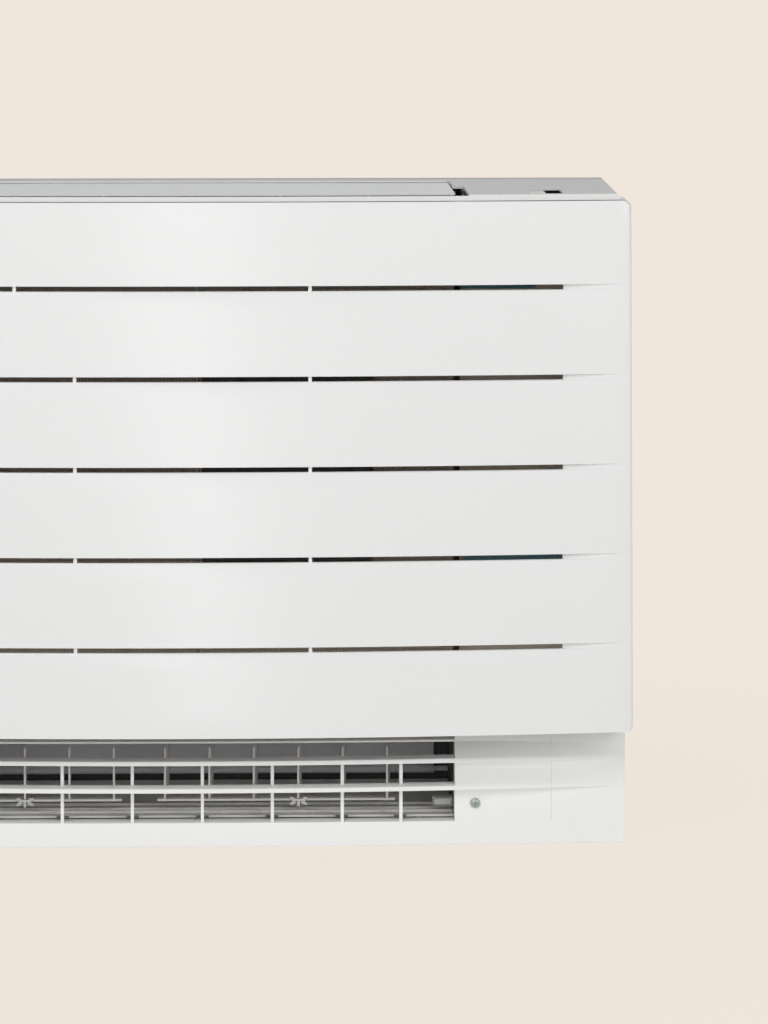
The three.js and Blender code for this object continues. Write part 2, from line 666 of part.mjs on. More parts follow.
function frontCasing() {
  const windowHalf = TOP_DUCT_HALF + WINDOW_MARGIN;
  let body = cut(
    prismY(frontView(0, 0), CASING_FRONT, CASING_REAR),
    prismY(frontView(CASING_WALL, -1), CASING_FRONT + CASING_WALL, CASING_REAR + 1),
    box(-INTAKE_LEFT, INTAKE_RIGHT, FRONT, COIL_FRONT, FRAME_BOTTOM, INTAKE_TOP),
    box(-windowHalf, windowHalf, FRONT, COIL_FRONT, DUCT_WINDOW, TOP_INSIDE),
    box(
      -CASING_HALF + LOWER_CUT_INSET,
      CASING_HALF - LOWER_CUT_INSET,
      FRONT,
      COIL_FRONT,
      -1,
      LOWER_FRONT_TOP + LOWER_CUT_RISE,
    ),
  );
  body = join(body, topShelf());
  body = cut(
    body,
    prismZ(topOpening(), LIP_BOTTOM - 1, HEIGHT + 1),
    box(
      -TOP_OUTLET_HALF,
      TOP_OUTLET_HALF,
      FRONT,
      topFront(0) + FLAP_RIM + FLAP_FRONT_GAP,
      HEIGHT - FLAP_RIM_DROP,
      HEIGHT + 1,
    ),
  );

  const [dx, dy] = [displayX(), displayFront()];
  const half = DISPLAY_WIDTH / 2;
  const rear = dy + DISPLAY_DEPTH;
  const floor = HEIGHT - DISPLAY_POCKET - DISPLAY_WALL;
  const rim = DISPLAY_WALL;
  const tray = box(dx - half - rim, dx + half + rim, dy - rim, rear + rim, floor, TOP_INSIDE + 1);
  body = join(body, tray);
  body = cut(
    body,
    box(dx - half, dx + half, dy, rear, HEIGHT - DISPLAY_POCKET, HEIGHT + 1),
    rodZ(floor - 1, HEIGHT, buttonX(), buttonY(), BUTTON_STEM + 2 * PLAY),
  );

  for (const side of [-1, 1]) {
    const inner = side * (FLAP_HALF + FLAP_NARROW_GAP + 1);
    const ends = [inner, inner + side * FLAP_LUG].sort((a, b) => a - b);
    const lug = box(
      ends[0],
      ends[1],
      FLAP_AXIS_Y - FLAP_LUG_HALF,
      FLAP_AXIS_Y + FLAP_LUG_HALF,
      FLAP_AXIS_Z - FLAP_LUG_DROP,
      TOP_INSIDE + 1,
    );
    const hole = rodX(ends[0] - 1, ends[1] + 1, FLAP_AXIS_Y, FLAP_AXIS_Z, FLAP_PIN + 2 * PLAY);
    body = cut(join(body, lug), hole);

    const lugOuter = side * (CASING_HALF - HINGE_LUG_INSET);
    const lugEnds = [lugOuter, lugOuter - side * HINGE_LUG].sort((a, b) => a - b);
    const half = HINGE_LUG_HALF;
    const hinge = box(
      lugEnds[0],
      lugEnds[1],
      HINGE_Y - half,
      CASING_FRONT + 1,
      HINGE_Z - half,
      HINGE_Z + half,
    );
    const bore = rodX(lugEnds[0] - 1, lugEnds[1] + 1, HINGE_Y, HINGE_Z, HINGE_PIN + 2 * PLAY);
    body = cut(join(body, hinge), bore);
  }
  add("front_casing", body, TOP_WHITE);
}

// ---------------------------------------------------------------- lower front moulding
// Wall of the moulding between two heights, with its edges turned back.
function baseSection(low, high) {
  return (x) => {
    const face = baseFront(x);
    const wall = BASE_WALL;
    return [
      [BASE_REAR, low],
      [face, low],
      [face, high],
      [BASE_REAR, high],
      [BASE_REAR, high - wall],
      [face + wall, high - wall],
      [face + wall, low + wall],
      [BASE_REAR, low + wall],
    ];
  };
}

// The slanted face above a rail, where the rail runs on beside the outlet.
function ridgeSection(level) {
  return (x) => {
    const inside = baseFront(x) + BASE_WALL / 2;
    return [
      [inside, level],
      [railFront(x), level],
      [railFront(x), level + RAIL_HEIGHT],
      [inside, level + RIDGE_HEIGHT],
    ];
  };
}

const railSection = (level) => (x) => [
  [railFront(x), level],
  [railFront(x) + RAIL_DEPTH, level],
  [railFront(x) + RAIL_DEPTH, level + RAIL_HEIGHT],
  [railFront(x), level + RAIL_HEIGHT],
];

const ends = (side, inner, outer) => (side > 0 ? [inner, outer] : [-outer, -inner]);

function lowerFrontGrille() {
  let body = loftX(baseSection(0, SILL_HEIGHT), -CASING_HALF, CASING_HALF, ARC_STEPS);
  const wing = baseSection(SILL_HEIGHT - BASE_WALL, WING_TOP);
  const jamb = OUTLET_HALF + BASE_WALL;
  for (const side of [-1, 1]) {
    const [a, b] = ends(side, OUTLET_HALF, COVER_SEAM);
    body = join(body, loftX(wing, a, b, 4));
    for (const level of RAIL_LEVELS) body = join(body, loftX(ridgeSection(level), a, b, 4));
    const [c, d] = ends(side, OUTLET_HALF, jamb);
    const low = SILL_HEIGHT - 1;
    body = join(body, box(c, d, baseFront(jamb), BASE_REAR, low, WING_TOP));
    const hole = rodY(FRONT, BASE_REAR, side * SCREW_X, SCREW_Z, SCREW_SHANK + 2 * PLAY);
    body = cut(body, hole);
  }
  body = join(body, loftX(lipSection, -OUTLET_HALF - 1, OUTLET_HALF + 1, ARC_STEPS));
  for (const level of RAIL_LEVELS)
    body = join(body, loftX(railSection(level), -OUTLET_HALF - 1, OUTLET_HALF + 1, ARC_STEPS));
  const bars = Array.from({ length: BAR_COUNT }, (_, i) => BAR_FIRST + i * BAR_PITCH);
  for (const x of [...bars, BAR_LAST]) {
    const rear = BASE_REAR - 2;
    const [left, right] = [x - BAR_WIDTH / 2, x + BAR_WIDTH / 2];
    body = join(body, box(left, right, rear - BAR_DEPTH, rear, SILL_HEIGHT - 1, RAIL_LEVELS[1] + 1));
  }
  add("lower_front_grille", body, WHITE);
}

function lipSection(x) {
  return [
    [baseFront(x), OUTLET_TOP],
    [baseFront(x), LOWER_FRONT_TOP],
    [BASE_REAR, LOWER_FRONT_TOP],
    [BASE_REAR, OUTLET_TOP],
  ];
}

function endCover(name, side) {
  const [a, b] = ends(side, COVER_SEAM + SEAT, CASING_HALF);
  let body = loftX(baseSection(SILL_HEIGHT + SEAT, WING_TOP), a, b, 4);
  const [c, d] = ends(side, COVER_SEAM + SEAT, CASING_HALF - RIDGE_END);
  for (const level of RAIL_LEVELS) body = join(body, loftX(ridgeSection(level), c, d, 4));
  add(name, body, WHITE);
}

function baseScrew(name, side) {
  const face = baseFront(SCREW_X) - SEAT;
  const x = side * SCREW_X;
  const half = SCREW_RECESS / 2;
  const slot = SCREW_RECESS_WIDTH / 2;
  const head = turned(
    [
      [0, face - SCREW_HEAD_HEIGHT],
      [SCREW_HEAD * 0.3, face - SCREW_HEAD_HEIGHT * 0.9],
      [SCREW_HEAD * 0.45, face - SCREW_HEAD_HEIGHT * 0.5],
      [SCREW_HEAD / 2, face],
      [0, face],
    ],
    x,
    SCREW_Z,
    16,
  );
  const deep = face - SCREW_HEAD_HEIGHT / 2;
  const body = cut(
    join(head, rodY(face - 1, face + SCREW_LENGTH, x, SCREW_Z, SCREW_SHANK, 10)),
    box(x - half, x + half, FRONT, deep, SCREW_Z - slot, SCREW_Z + slot),
    box(x - slot, x + slot, FRONT, deep, SCREW_Z - half, SCREW_Z + half),
  );
  add(name, body, STEEL);
}

// ---------------------------------------------------------------- rear chassis
function rearChassis() {
  const rim = REAR_DEPTH - SEAT;
  const inner = prismY(frontView(CASING_WALL, CASING_WALL), BACK - rim - 1, BACK - BACK_WALL);
  const trayFront = CASING_FRONT + CASING_WALL + SEAT;
  const trayHalf = INNER_HALF - SEAT;
  let body = cut(prismY(frontView(0, 0), BACK - rim, BACK), inner);
  body = join(body, box(-trayHalf, trayHalf, trayFront, BACK - 1, 0, CASING_WALL));
  for (const side of [-1, 1]) {
    for (const z of [COIL_BOTTOM, COIL_TOP]) {
      const x = side * (TOP_DUCT_HALF - POST);
      body = join(body, rodY(HOUSING_REAR + SEAT, BACK - 1, x, z, POST, 12));
    }
    const x = side * SCREW_X;
    const half = BOSS_WIDTH / 2;
    const bossFront = baseFront(SCREW_X + half) + BASE_WALL + SEAT;
    const boss = join(
      box(x - half, x + half, bossFront, trayFront + 8, SCREW_Z - half, SCREW_Z + half),
      box(x - half, x + half, trayFront, trayFront + 8, 1, SCREW_Z + half),
    );
    const hole = rodY(FRONT, trayFront + 7, x, SCREW_Z, SCREW_SHANK + 2 * PLAY, 10);
    body = join(body, cut(boss, hole));
  }
  body = join(body, rodY(MOTOR_REAR + SEAT, BACK - 1, 0, FAN_Z, MOTOR * 0.8, 24));
  add("rear_chassis", body, DARK_PLASTIC);
}

// ---------------------------------------------------------------- fan housing
const polar = (radius, degrees) => {
  const angle = (degrees * Math.PI) / 180;
  return [radius * Math.cos(angle), FAN_Z + radius * Math.sin(angle)];
};

// One wall of the scroll: a duct wall, the tongue beside the fan, then a growing spiral
// that ends in the other duct wall.
function scrollPath(tongue, duct, other) {
  const start = FAN_DIAMETER / 2 + TONGUE_GAP;
  const [x, z] = other[0];
  const endRadius = Math.hypot(x, z - FAN_Z);
  const endAngle = (Math.atan2(z - FAN_Z, x) * 180) / Math.PI;
  const spiral = [];
  for (let i = 0; i < SCROLL_STEPS; i++) {
    const share = i / SCROLL_STEPS;
    const radius = start + (endRadius - start) * share;
    const [u, w] = polar(radius, tongue + (endAngle - tongue) * share);
    spiral.push([THREE.MathUtils.clamp(u, -Math.abs(x), Math.abs(x)), w]);
  }
  return [...duct, ...spiral, ...other];
}

// Outline of a wall of even thickness along a path.
function wallOutline(path, wall) {
  const [left, right] = [[], []];
  path.forEach((point, i) => {
    const before = path[Math.max(i - 1, 0)];
    const after = path[Math.min(i + 1, path.length - 1)];
    const a = new THREE.Vector2(point[0] - before[0], point[1] - before[1]).normalize();
    const b = new THREE.Vector2(after[0] - point[0], after[1] - point[1]).normalize();
    const along = a.clone().add(b).normalize();
    const reach = wall / 2 / Math.max(along.dot(i ? a : b), 0.5);
    left.push([point[0] - along.y * reach, point[1] + along.x * reach]);
    right.unshift([point[0] + along.y * reach, point[1] - along.x * reach]);
  });
  return [...left, ...right];
}

function fanHousing() {
  const front = GUIDE_REAR + SEAT;
  const [upper, lower] = [TOP_DUCT_HALF + HOUSING_WALL / 2, OUTLET_HALF + HOUSING_WALL / 2];
  const upperLevels = [TOP_INSIDE - SEAT, HEIGHT - UPPER_SHOULDER];
  const lowerLevels = [DUCT_SHOULDER, FLOOR_LEVEL - FLOOR_WALL];
  const right = scrollPath(
    45,
    upperLevels.map((z) => [upper, z]),
    lowerLevels.map((z) => [lower, z]),
  );
  const left = scrollPath(
    225,
    lowerLevels.toReversed().map((z) => [-lower, z]),
    upperLevels.toReversed().map((z) => [-upper, z]),
  );
  let body = join(
    prismY(wallOutline(right, HOUSING_WALL), front, HOUSING_REAR),
    prismY(wallOutline(left, HOUSING_WALL), front, HOUSING_REAR),
  );
  const [wide, narrow] = [TOP_DUCT_HALF + HOUSING_WALL, OUTLET_HALF + HOUSING_WALL];
  const plateOutline = [
    [-narrow, lowerLevels[1]],
    [narrow, lowerLevels[1]],
    [narrow, DUCT_SHOULDER],
    [wide, DUCT_SHOULDER],
    [wide, upperLevels[0]],
    [-wide, upperLevels[0]],
    [-wide, DUCT_SHOULDER],
    [-narrow, DUCT_SHOULDER],
  ];
  const plate = prismY(plateOutline, HOUSING_INSIDE, HOUSING_REAR);
  const hole = rodY(HOUSING_INSIDE - 1, HOUSING_REAR + 1, 0, FAN_Z, MOTOR_HOLE, 32);
  body = join(body, cut(plate, hole));
  const cheekTop = LOWER_FRONT_TOP;
  for (const side of [-1, 1]) {
    const [a, b] = ends(side, OUTLET_HALF, OUTLET_HALF + HOUSING_WALL);
    const low = FLOOR_LEVEL - FLOOR_WALL;
    body = join(body, box(a, b, CASING_FRONT + SEAT, front + 1, low, cheekTop));
    const [c, d] = ends(side, narrow - HOUSING_WALL - 1, wide + 1);
    body = cut(
      body,
      rodX(a - 1, b + 1, DAMPER_Y, DAMPER_AXIS_Z, DAMPER_PIN + 2 * PLAY),
      rodX(c, d, FLAP_AXIS_Y, FLAP_AXIS_Z, FLAP_PIN + 2 * PLAY),
    );
  }
  add("fan_housing", body, DUCT_GREY);
}

// ---------------------------------------------------------------- air guide
// The wall in front of the fan, its bell mouth, and the slope up to the upper outlet.
function airGuide() {
  const half = TOP_DUCT_HALF + HOUSING_WALL;
  const bend = INTAKE_TOP + GUIDE_BEND;
  const eye = FAN_EYE / 2 - BELL_CLEARANCE - GUIDE_WALL;
  const wall = cut(
    box(-half, half, GUIDE_FRONT, GUIDE_REAR, PAN_BOTTOM, bend + 1),
    rodY(GUIDE_FRONT - 1, GUIDE_REAR + 1, 0, FAN_Z, 2 * (eye + BELL_FLARE) - 1, 40),
  );
  const bell = turned(
    [
      [eye + BELL_FLARE, GUIDE_FRONT],
      [eye + BELL_FLARE, GUIDE_REAR],
      [eye + GUIDE_WALL, GUIDE_REAR + BELL_LIP / 2],
      [eye + GUIDE_WALL, GUIDE_REAR + BELL_LIP],
      [eye, GUIDE_REAR + BELL_LIP],
      [eye, GUIDE_REAR + BELL_LIP / 2],
      [eye + BELL_FLARE / 3, GUIDE_FRONT],
      [eye + BELL_FLARE, GUIDE_FRONT],
    ],
    0,
    FAN_Z,
    40,
  );
  const slope = loftX(
    (x) => [
      [GUIDE_REAR, bend],
      [GUIDE_REAR, bend + GUIDE_WALL],
      [topFront(x) + 2 * FLAP_RIM + GUIDE_WALL, LIP_BOTTOM - 1],
      [topFront(x) + 2 * FLAP_RIM, LIP_BOTTOM - 1],
      [topFront(x) + 2 * FLAP_RIM, LIP_BOTTOM - 1 - GUIDE_WALL],
    ],
    -half,
    half,
    ARC_STEPS,
  );
  let body = join(wall, bell, slope);
  for (const side of [-1, 1]) {
    const [a, b] = ends(side, TOP_DUCT_HALF, half);
    const cheek = [
      [GUIDE_REAR, bend],
      [GUIDE_REAR, LIP_BOTTOM - 1],
      [topFront(half) + 2 * FLAP_RIM, LIP_BOTTOM - 1],
      [topFront(half) + 2 * FLAP_RIM, LIP_BOTTOM - 1 - GUIDE_WALL],
    ];
    body = join(body, prismX(cheek, a, b));
  }
  add("air_guide", body, DUCT_GREY);
}

// ---------------------------------------------------------------- fan
function fanImpeller() {
  const radius = FAN_DIAMETER / 2;
  const eye = FAN_EYE / 2;
  const rear = FAN_REAR;
  const bore = SHAFT / 2 + PLAY;
  const cone = FAN_CONE / 2;
  const dish = rear - FAN_DISH;
  const wheel = turned(
    [
      [bore, dish],
      [FAN_HUB / 2, dish],
      [FAN_HUB / 2 + 4, dish + 4],
      [cone, rear - FAN_WALL],
      [radius, rear - FAN_WALL],
      [radius, rear],
      [cone - 1, rear],
      [FAN_HUB / 2 + 2, dish + 8],
      [FAN_HUB / 2 - 4, dish + 16],
      [bore, dish + 16],
      [bore, dish],
    ],
    0,
    FAN_Z,
  );
  const shroud = turned(
    [
      [eye, FAN_FRONT + BELL_LIP - FAN_GAP],
      [eye, FAN_FRONT + 4],
      [eye + FAN_WALL, FAN_FRONT + 4],
      [eye + 12, FAN_FRONT + BELL_LIP],
      [radius, FAN_FRONT + BELL_LIP + 6],
      [radius, FAN_FRONT + BELL_LIP + 6 + FAN_WALL],
      [eye + 10, FAN_FRONT + BELL_LIP + FAN_WALL],
      [eye, FAN_FRONT + BELL_LIP - FAN_GAP],
    ],
    0,
    FAN_Z,
  );
  let body = join(wheel, shroud);
  for (let i = 0; i < FAN_BLADES; i++)
    body = join(body, prismY(bladeOutline(i), FAN_FRONT + BELL_LIP + 5, rear - 1));
  add("fan_impeller", body, WHITE);
}

// One backward-curved blade in the front view.
function bladeOutline(number) {
  const first = (360 / FAN_BLADES) * number;
  const path = [];
  for (let i = 0; i <= 4; i++) {
    const share = i / 4;
    const radius = FAN_EYE / 2 - 8 + (FAN_DIAMETER / 2 - 2 - FAN_EYE / 2 + 8) * share;
    path.push(polar(radius, first + FAN_BLADE_SWEEP * share * (0.6 + 0.4 * share)));
  }
  return wallOutline(path, FAN_BLADE_THICK);
}

function fanShaftAndNut() {
  const dish = FAN_REAR - FAN_DISH;
  const tip = dish - NUT_HEIGHT - 3;
  add("fan_shaft", rodY(tip, MOTOR_FRONT + SHAFT_INSERT, 0, FAN_Z, SHAFT), STEEL);
  const nut = cut(
    rodY(dish - SEAT - NUT_HEIGHT, dish - SEAT, 0, FAN_Z, NUT, 6),
    rodY(dish - NUT_HEIGHT - 1, dish + 1, 0, FAN_Z, SHAFT + 2 * PLAY),
  );
  add("fan_nut", nut, STEEL);
}

function fanMotor() {
  const radius = MOTOR / 2;
  const body = turned(
    [
      [SHAFT / 2 + PLAY, MOTOR_FRONT],
      [radius * 0.3, MOTOR_FRONT],
      [radius * 0.36, MOTOR_FRONT + 4],
      [radius * 0.86, MOTOR_FRONT + 6],
      [radius, MOTOR_FRONT + 14],
      [radius, MOTOR_REAR - 4],
      [radius * 0.9, MOTOR_REAR],
      [0, MOTOR_REAR],
      [0, MOTOR_FRONT + SHAFT_INSERT + 2],
      [SHAFT / 2 + PLAY, MOTOR_FRONT + SHAFT_INSERT + 2],
      [SHAFT / 2 + PLAY, MOTOR_FRONT],
    ],
    0,
    FAN_Z,
  );
  add("fan_motor", body, STEEL);
}

// ---------------------------------------------------------------- coil, pan and pipes
const coilRear = COIL_FRONT + COIL_DEPTH;
const coilMiddle = (COIL_FRONT + coilRear) / 2;
const panFront = CASING_FRONT + CASING_WALL + SEAT;
const panRear = GUIDE_FRONT - SEAT;
const bendPitch = (COIL_TOP - COIL_BOTTOM) / BEND_COUNT;
const pipeStart = COIL_LEFT - BEND_REACH - TUBE_PLATE - SEAT;

function coil() {
  const block = box(COIL_LEFT, COIL_RIGHT, COIL_FRONT, coilRear, COIL_BOTTOM, COIL_TOP);
  add("fin_coil", block, ALUMINIUM);
  tubePlate("tube_plate_left", -1, COIL_LEFT - SEAT - TUBE_PLATE);
  tubePlate("tube_plate_right", 1, COIL_RIGHT + SEAT);
}

// End plate of the coil with its row of return bends; its foot stands in the drain pan.
function tubePlate(name, side, x0) {
  const inset = PAN_WALL + SEAT;
  const floor = PAN_BOTTOM + PAN_WALL + SEAT;
  let body = join(
    box(x0, x0 + TUBE_PLATE, COIL_FRONT, coilRear, COIL_BOTTOM, COIL_TOP),
    box(x0, x0 + TUBE_PLATE, panFront + inset, panRear - inset, floor, COIL_BOTTOM + 1),
  );
  const face = side > 0 ? x0 + TUBE_PLATE : x0;
  const y = coilMiddle;
  for (let i = 0; i < BEND_COUNT; i++) {
    const z = COIL_BOTTOM + bendPitch * (i + 0.5);
    const path = [[face - side * TUBE_PLATE * 0.5, y, z - BEND_RADIUS]];
    for (let k = 0; k <= 4; k++) {
      const angle = -Math.PI / 2 + (Math.PI * k) / 4;
      const reach = BEND_STUB + BEND_RADIUS * Math.cos(angle);
      path.push([face + side * reach, y, z + BEND_RADIUS * Math.sin(angle)]);
    }
    path.push([face - side * TUBE_PLATE * 0.5, y, z + BEND_RADIUS]);
    body = join(body, tube(path, 2 * BEND_TUBE, 6, 6));
  }
  if (side < 0)
    for (const [diameter, row] of [
      [GAS_PIPE, GAS_PIPE_ROW],
      [LIQUID_PIPE, LIQUID_PIPE_ROW],
    ]) {
      const stub = rodX(pipeStart + SEAT, face + 1, y, COIL_BOTTOM + bendPitch * row, diameter, 8);
      body = join(body, stub);
    }
  add(name, body, COPPER);
}

function drainPan() {
  const left = COIL_LEFT - BEND_REACH - TUBE_PLATE;
  const right = ELECTRONICS_LEFT - PAN_END_GAP;
  const [front, rear] = [panFront, panRear];
  const top = PAN_BOTTOM + PAN_HEIGHT;
  const wall = PAN_WALL;
  const outletX = left + PAN_OUTLET / 2 + 1;
  const outletY = (front + rear) / 2;
  const body = cut(
    join(
      box(left, right, front, rear, PAN_BOTTOM, top),
      rodZ(PAN_BOTTOM - PAN_OUTLET_LENGTH, PAN_BOTTOM + 1, outletX, outletY, PAN_OUTLET),
    ),
    box(left + wall, right - wall, front + wall, rear - wall, PAN_BOTTOM + wall, top + 1),
    rodZ(PAN_BOTTOM - PAN_OUTLET_LENGTH - 1, top, outletX, outletY, PAN_OUTLET_BORE),
  );
  add("drain_pan", body, DARK_PLASTIC);
}

// A pipe from the coil's left end down the side of the unit and back along the floor.
function pipe(name, diameter, row, reach) {
  const y = coilMiddle;
  const x = pipeStart - reach;
  const z = COIL_BOTTOM + bendPitch * row;
  const path = [
    [pipeStart, y, z],
    [(pipeStart + x) / 2, y, z],
    [x, y, z - diameter * 2],
    [x, y, z - PIPE_DROP],
    [x, y + diameter * 3, z - PIPE_DROP - diameter * 3],
    [x, y + PIPE_RUN, z - PIPE_DROP - diameter * 3],
  ];
  add(name, tube(path, diameter, 8, 16), COPPER);
}

// ---------------------------------------------------------------- filters
function filter(name, left, right, grips) {
  const low = FRAME_BOTTOM - FILTER_MARGIN;
  const high = INTAKE_TOP + FILTER_MARGIN;
  const rear = FILTER_FRONT + FILTER_THICK;
  const frame = FILTER_FRAME;
  let body = cut(
    box(left, right, FILTER_FRONT, rear, low, high),
    box(left + frame, right - frame, FILTER_FRONT - 1, rear + 1, low + frame, high - frame),
  );
  const middle = (FILTER_FRONT + rear) / 2;
  const half = FILTER_MESH / 2;
  body = join(body, box(left + 1, right - 1, middle - half, middle + half, low + 1, high - 1));
  const [ribFront, ribRear] = [FILTER_FRONT + FILTER_INSET, rear - FILTER_INSET];
  for (let i = 1; i < FILTER_CELLS; i++) {
    const z = low + ((high - low) * i) / FILTER_CELLS;
    body = join(body, box(left + 1, right - 1, ribFront, ribRear, z, z + FILTER_RIB));
  }
  for (const [from, to, bottom] of grips)
    body = join(body, box(from, to, ribFront - 1, rear - 1, bottom, bottom + GRIP_PLATE));
  add(name, body, MESH_GREY);
}

function filters() {
  const seam = FILTER_SEAM;
  filter("air_filter_left", -FILTER_LEFT_EDGE, seam - 1, [
    [UPPER_GRIP[0], seam - 2, UPPER_GRIP[2]],
    [LOWER_GRIP[0], seam - 2, LOWER_GRIP[2]],
  ]);
  filter("air_filter_right", seam + 1, ELECTRONICS_LEFT - FILTER_END_GAP, [
    [seam + 2, UPPER_GRIP[1], UPPER_GRIP[2]],
    [seam + 2, LOWER_GRIP[1], LOWER_GRIP[2]],
  ]);
  const { left, right, bottom, top, thick, rows } = CASSETTE;
  const { inset, half, deep } = CASSETTE_CELL;
  const rear = FILTER_FRONT - SEAT;
  const face = rear - thick;
  let body = box(left, right, face, rear, bottom, top);
  for (let i = 1; i < rows; i++) {
    const z = bottom + ((top - bottom) * i) / rows;
    body = cut(body, box(left + inset, right - inset, face - 1, face + deep, z - half, z + half));
  }
  add("deodorising_cassette", body, MESH_GREY);
}

// ---------------------------------------------------------------- electronics
function electronics() {
  const right = INNER_HALF - SEAT;
  const left = ELECTRONICS_LEFT + BOX_INSET;
  const front = COVER_REAR + SEAT;
  const rear = front + BOX_DEPTH;
  const top = HEIGHT - BOX_TOP_SPACE;
  const wall = BOX_WALL;
  const tray = cut(
    box(left, right, front, rear, BOX_BOTTOM, top),
    box(left + wall, right - wall, front - 1, rear - wall, BOX_BOTTOM + wall, top - wall),
  );
  add("electronics_box", tray, STEEL);
  const cover = box(
    ELECTRONICS_LEFT,
    right,
    COVER_REAR - COVER_THICK,
    COVER_REAR,
    BOX_BOTTOM - COVER_BELOW,
    top + COVER_ABOVE,
  );
  add("electronics_cover", cover, STEEL);

  const blueRear = COVER_REAR - COVER_THICK - SEAT;
  const blue = (name, x0, x1, z0, height) =>
    add(name, box(x0, x1, blueRear - BLUE_THICK, blueRear, z0, z0 + height), BLUE_GREEN);
  const cable = CABLE_COVER;
  const terminal = TERMINAL_COVER;
  const from = ELECTRONICS_LEFT;
  blue("cable_cover", from, from + cable.width, cable.bottom, cable.height);
  const inset = from + terminal.inset;
  blue("terminal_cover", inset, inset + terminal.width, terminal.bottom, terminal.height);

  const boardX = (left + right) / 2;
  const boardRear = rear - wall - SEAT - BOARD.lift;
  const boardFront = boardRear - BOARD.thick;
  const [x0, x1] = [boardX - BOARD.width / 2, boardX + BOARD.width / 2];
  const z0 = BOARD.bottom;
  let board = box(x0, x1, boardFront, boardRear, z0, z0 + BOARD.height);
  const { inset: corner, diameter } = BOARD_STANDOFF;
  for (const x of [x0 + corner, x1 - corner])
    for (const z of [z0 + corner, z0 + BOARD.height - corner])
      board = join(board, rodY(boardRear - 1, rear - wall - SEAT, x, z, diameter, 8));
  const seat = boardFront + BOARD.thick / 2;
  for (const z of BOARD_CANS.z) {
    const face = boardFront - BOARD_CANS.height;
    board = join(board, rodY(face, seat, x0 + BOARD_CANS.x, z0 + z, BOARD_CANS.diameter));
  }
  for (const { x, z, height } of BOARD_BLOCKS)
    board = join(board, box(x0 + x[0], x0 + x[1], boardFront - height, seat, z0 + z[0], z0 + z[1]));
  add("control_board", board, BOARD_GREEN);

  const terminalRear = rear - wall - SEAT;
  const half = TERMINAL.width / 2;
  const face = terminalRear - TERMINAL.depth;
  const level = TERMINAL.bottom;
  let block = box(boardX - half, boardX + half, face, terminalRear, level, level + TERMINAL.height);
  const middle = level + TERMINAL.height / 2;
  for (let i = 0; i < TERMINAL.count; i++) {
    const x = boardX - half + (TERMINAL.width * (i + 0.5)) / TERMINAL.count;
    block = cut(block, rodY(face - 1, face + TERMINAL.deep, x, middle, TERMINAL.hole, 8));
  }
  add("terminal_block", block, DARK_PLASTIC);
}

// ---------------------------------------------------------------- lower outlet
function ductFloor() {
  const start = CASING_FRONT + FLOOR_START;
  const end = DAMPER_Y - DAMPER_KNUCKLE - SWING;
  const level = FLOOR_LEVEL;
  const flat = start + FLOOR_FLAT;
  const half = OUTLET_HALF - SEAT;
  const outline = [
    [start, level - FLOOR_WALL],
    [start, level],
    [flat, level],
    [(flat + end) / 2, level + FLOOR_RISE * 0.4],
    [end, level + FLOOR_RISE],
    [end, level + FLOOR_RISE - FLOOR_WALL],
    [(flat + end) / 2, level + FLOOR_RISE * 0.4 - FLOOR_WALL],
    [flat, level - FLOOR_WALL],
  ];
  let body = prismX(outline, -half, half);
  for (const reach of FLOOR_RIB_YS) {
    const y = start + reach;
    const rib = [
      [y - 1.5, level - 1],
      [y - 0.8, level + FLOOR_RIB],
      [y + 0.8, level + FLOOR_RIB],
      [y + 1.5, level - 1],
    ];
    body = join(body, prismX(rib, -half, half));
  }
  for (const x of [-half + FLOOR_LEG_INSET, 0, half - FLOOR_LEG_INSET])
    for (const y of [start + FLOOR_LEG_STEP, flat - FLOOR_LEG_STEP])
      body = join(body, box(x - 1, x + 1, y, y + FLOOR_LEG, CASING_WALL + SEAT, level - 1));
  add("lower_duct_floor", body, TOP_WHITE);
}

const leftVaneX = Array.from({ length: LEFT_VANES }, (_, i) => FIRST_VANE + i * VANE_PITCH);
const firstRightVane = leftVaneX[LEFT_VANES - 1] + VANE_GROUP_GAP;
const rightVaneX = Array.from({ length: RIGHT_VANES }, (_, i) => firstRightVane + i * VANE_PITCH);
const carrierBottom = VANE_TOP + CARRIER_GAP;

// A vane about its own pivot: the blade in YZ, the pivot pin above, the tie pin below.
function lowerVane() {
  const [front, rear] = [-VANE_FRONT, VANE_BACK];
  const blade = [
    [front, VANE_BOTTOM],
    [rear, VANE_BOTTOM],
    [rear, VANE_TOP],
    [front + VANE_SHOULDER, VANE_TOP],
    [front + VANE_SHOULDER * 0.3, VANE_TOP - VANE_SHOULDER * 0.3],
    [front, VANE_TOP - VANE_SHOULDER],
  ];
  return join(
    prismX(blade, -VANE_THICK / 2, VANE_THICK / 2),
    rodZ(VANE_TOP - 2, carrierBottom + CARRIER_THICK + 1, 0, 0, VANE_PIN, 8),
    rodZ(VANE_BOTTOM - TIE_HEIGHT - 3 * SEAT, VANE_BOTTOM + 1, 0, -TIE_ARM, TIE_PIN, 6),
  );
}

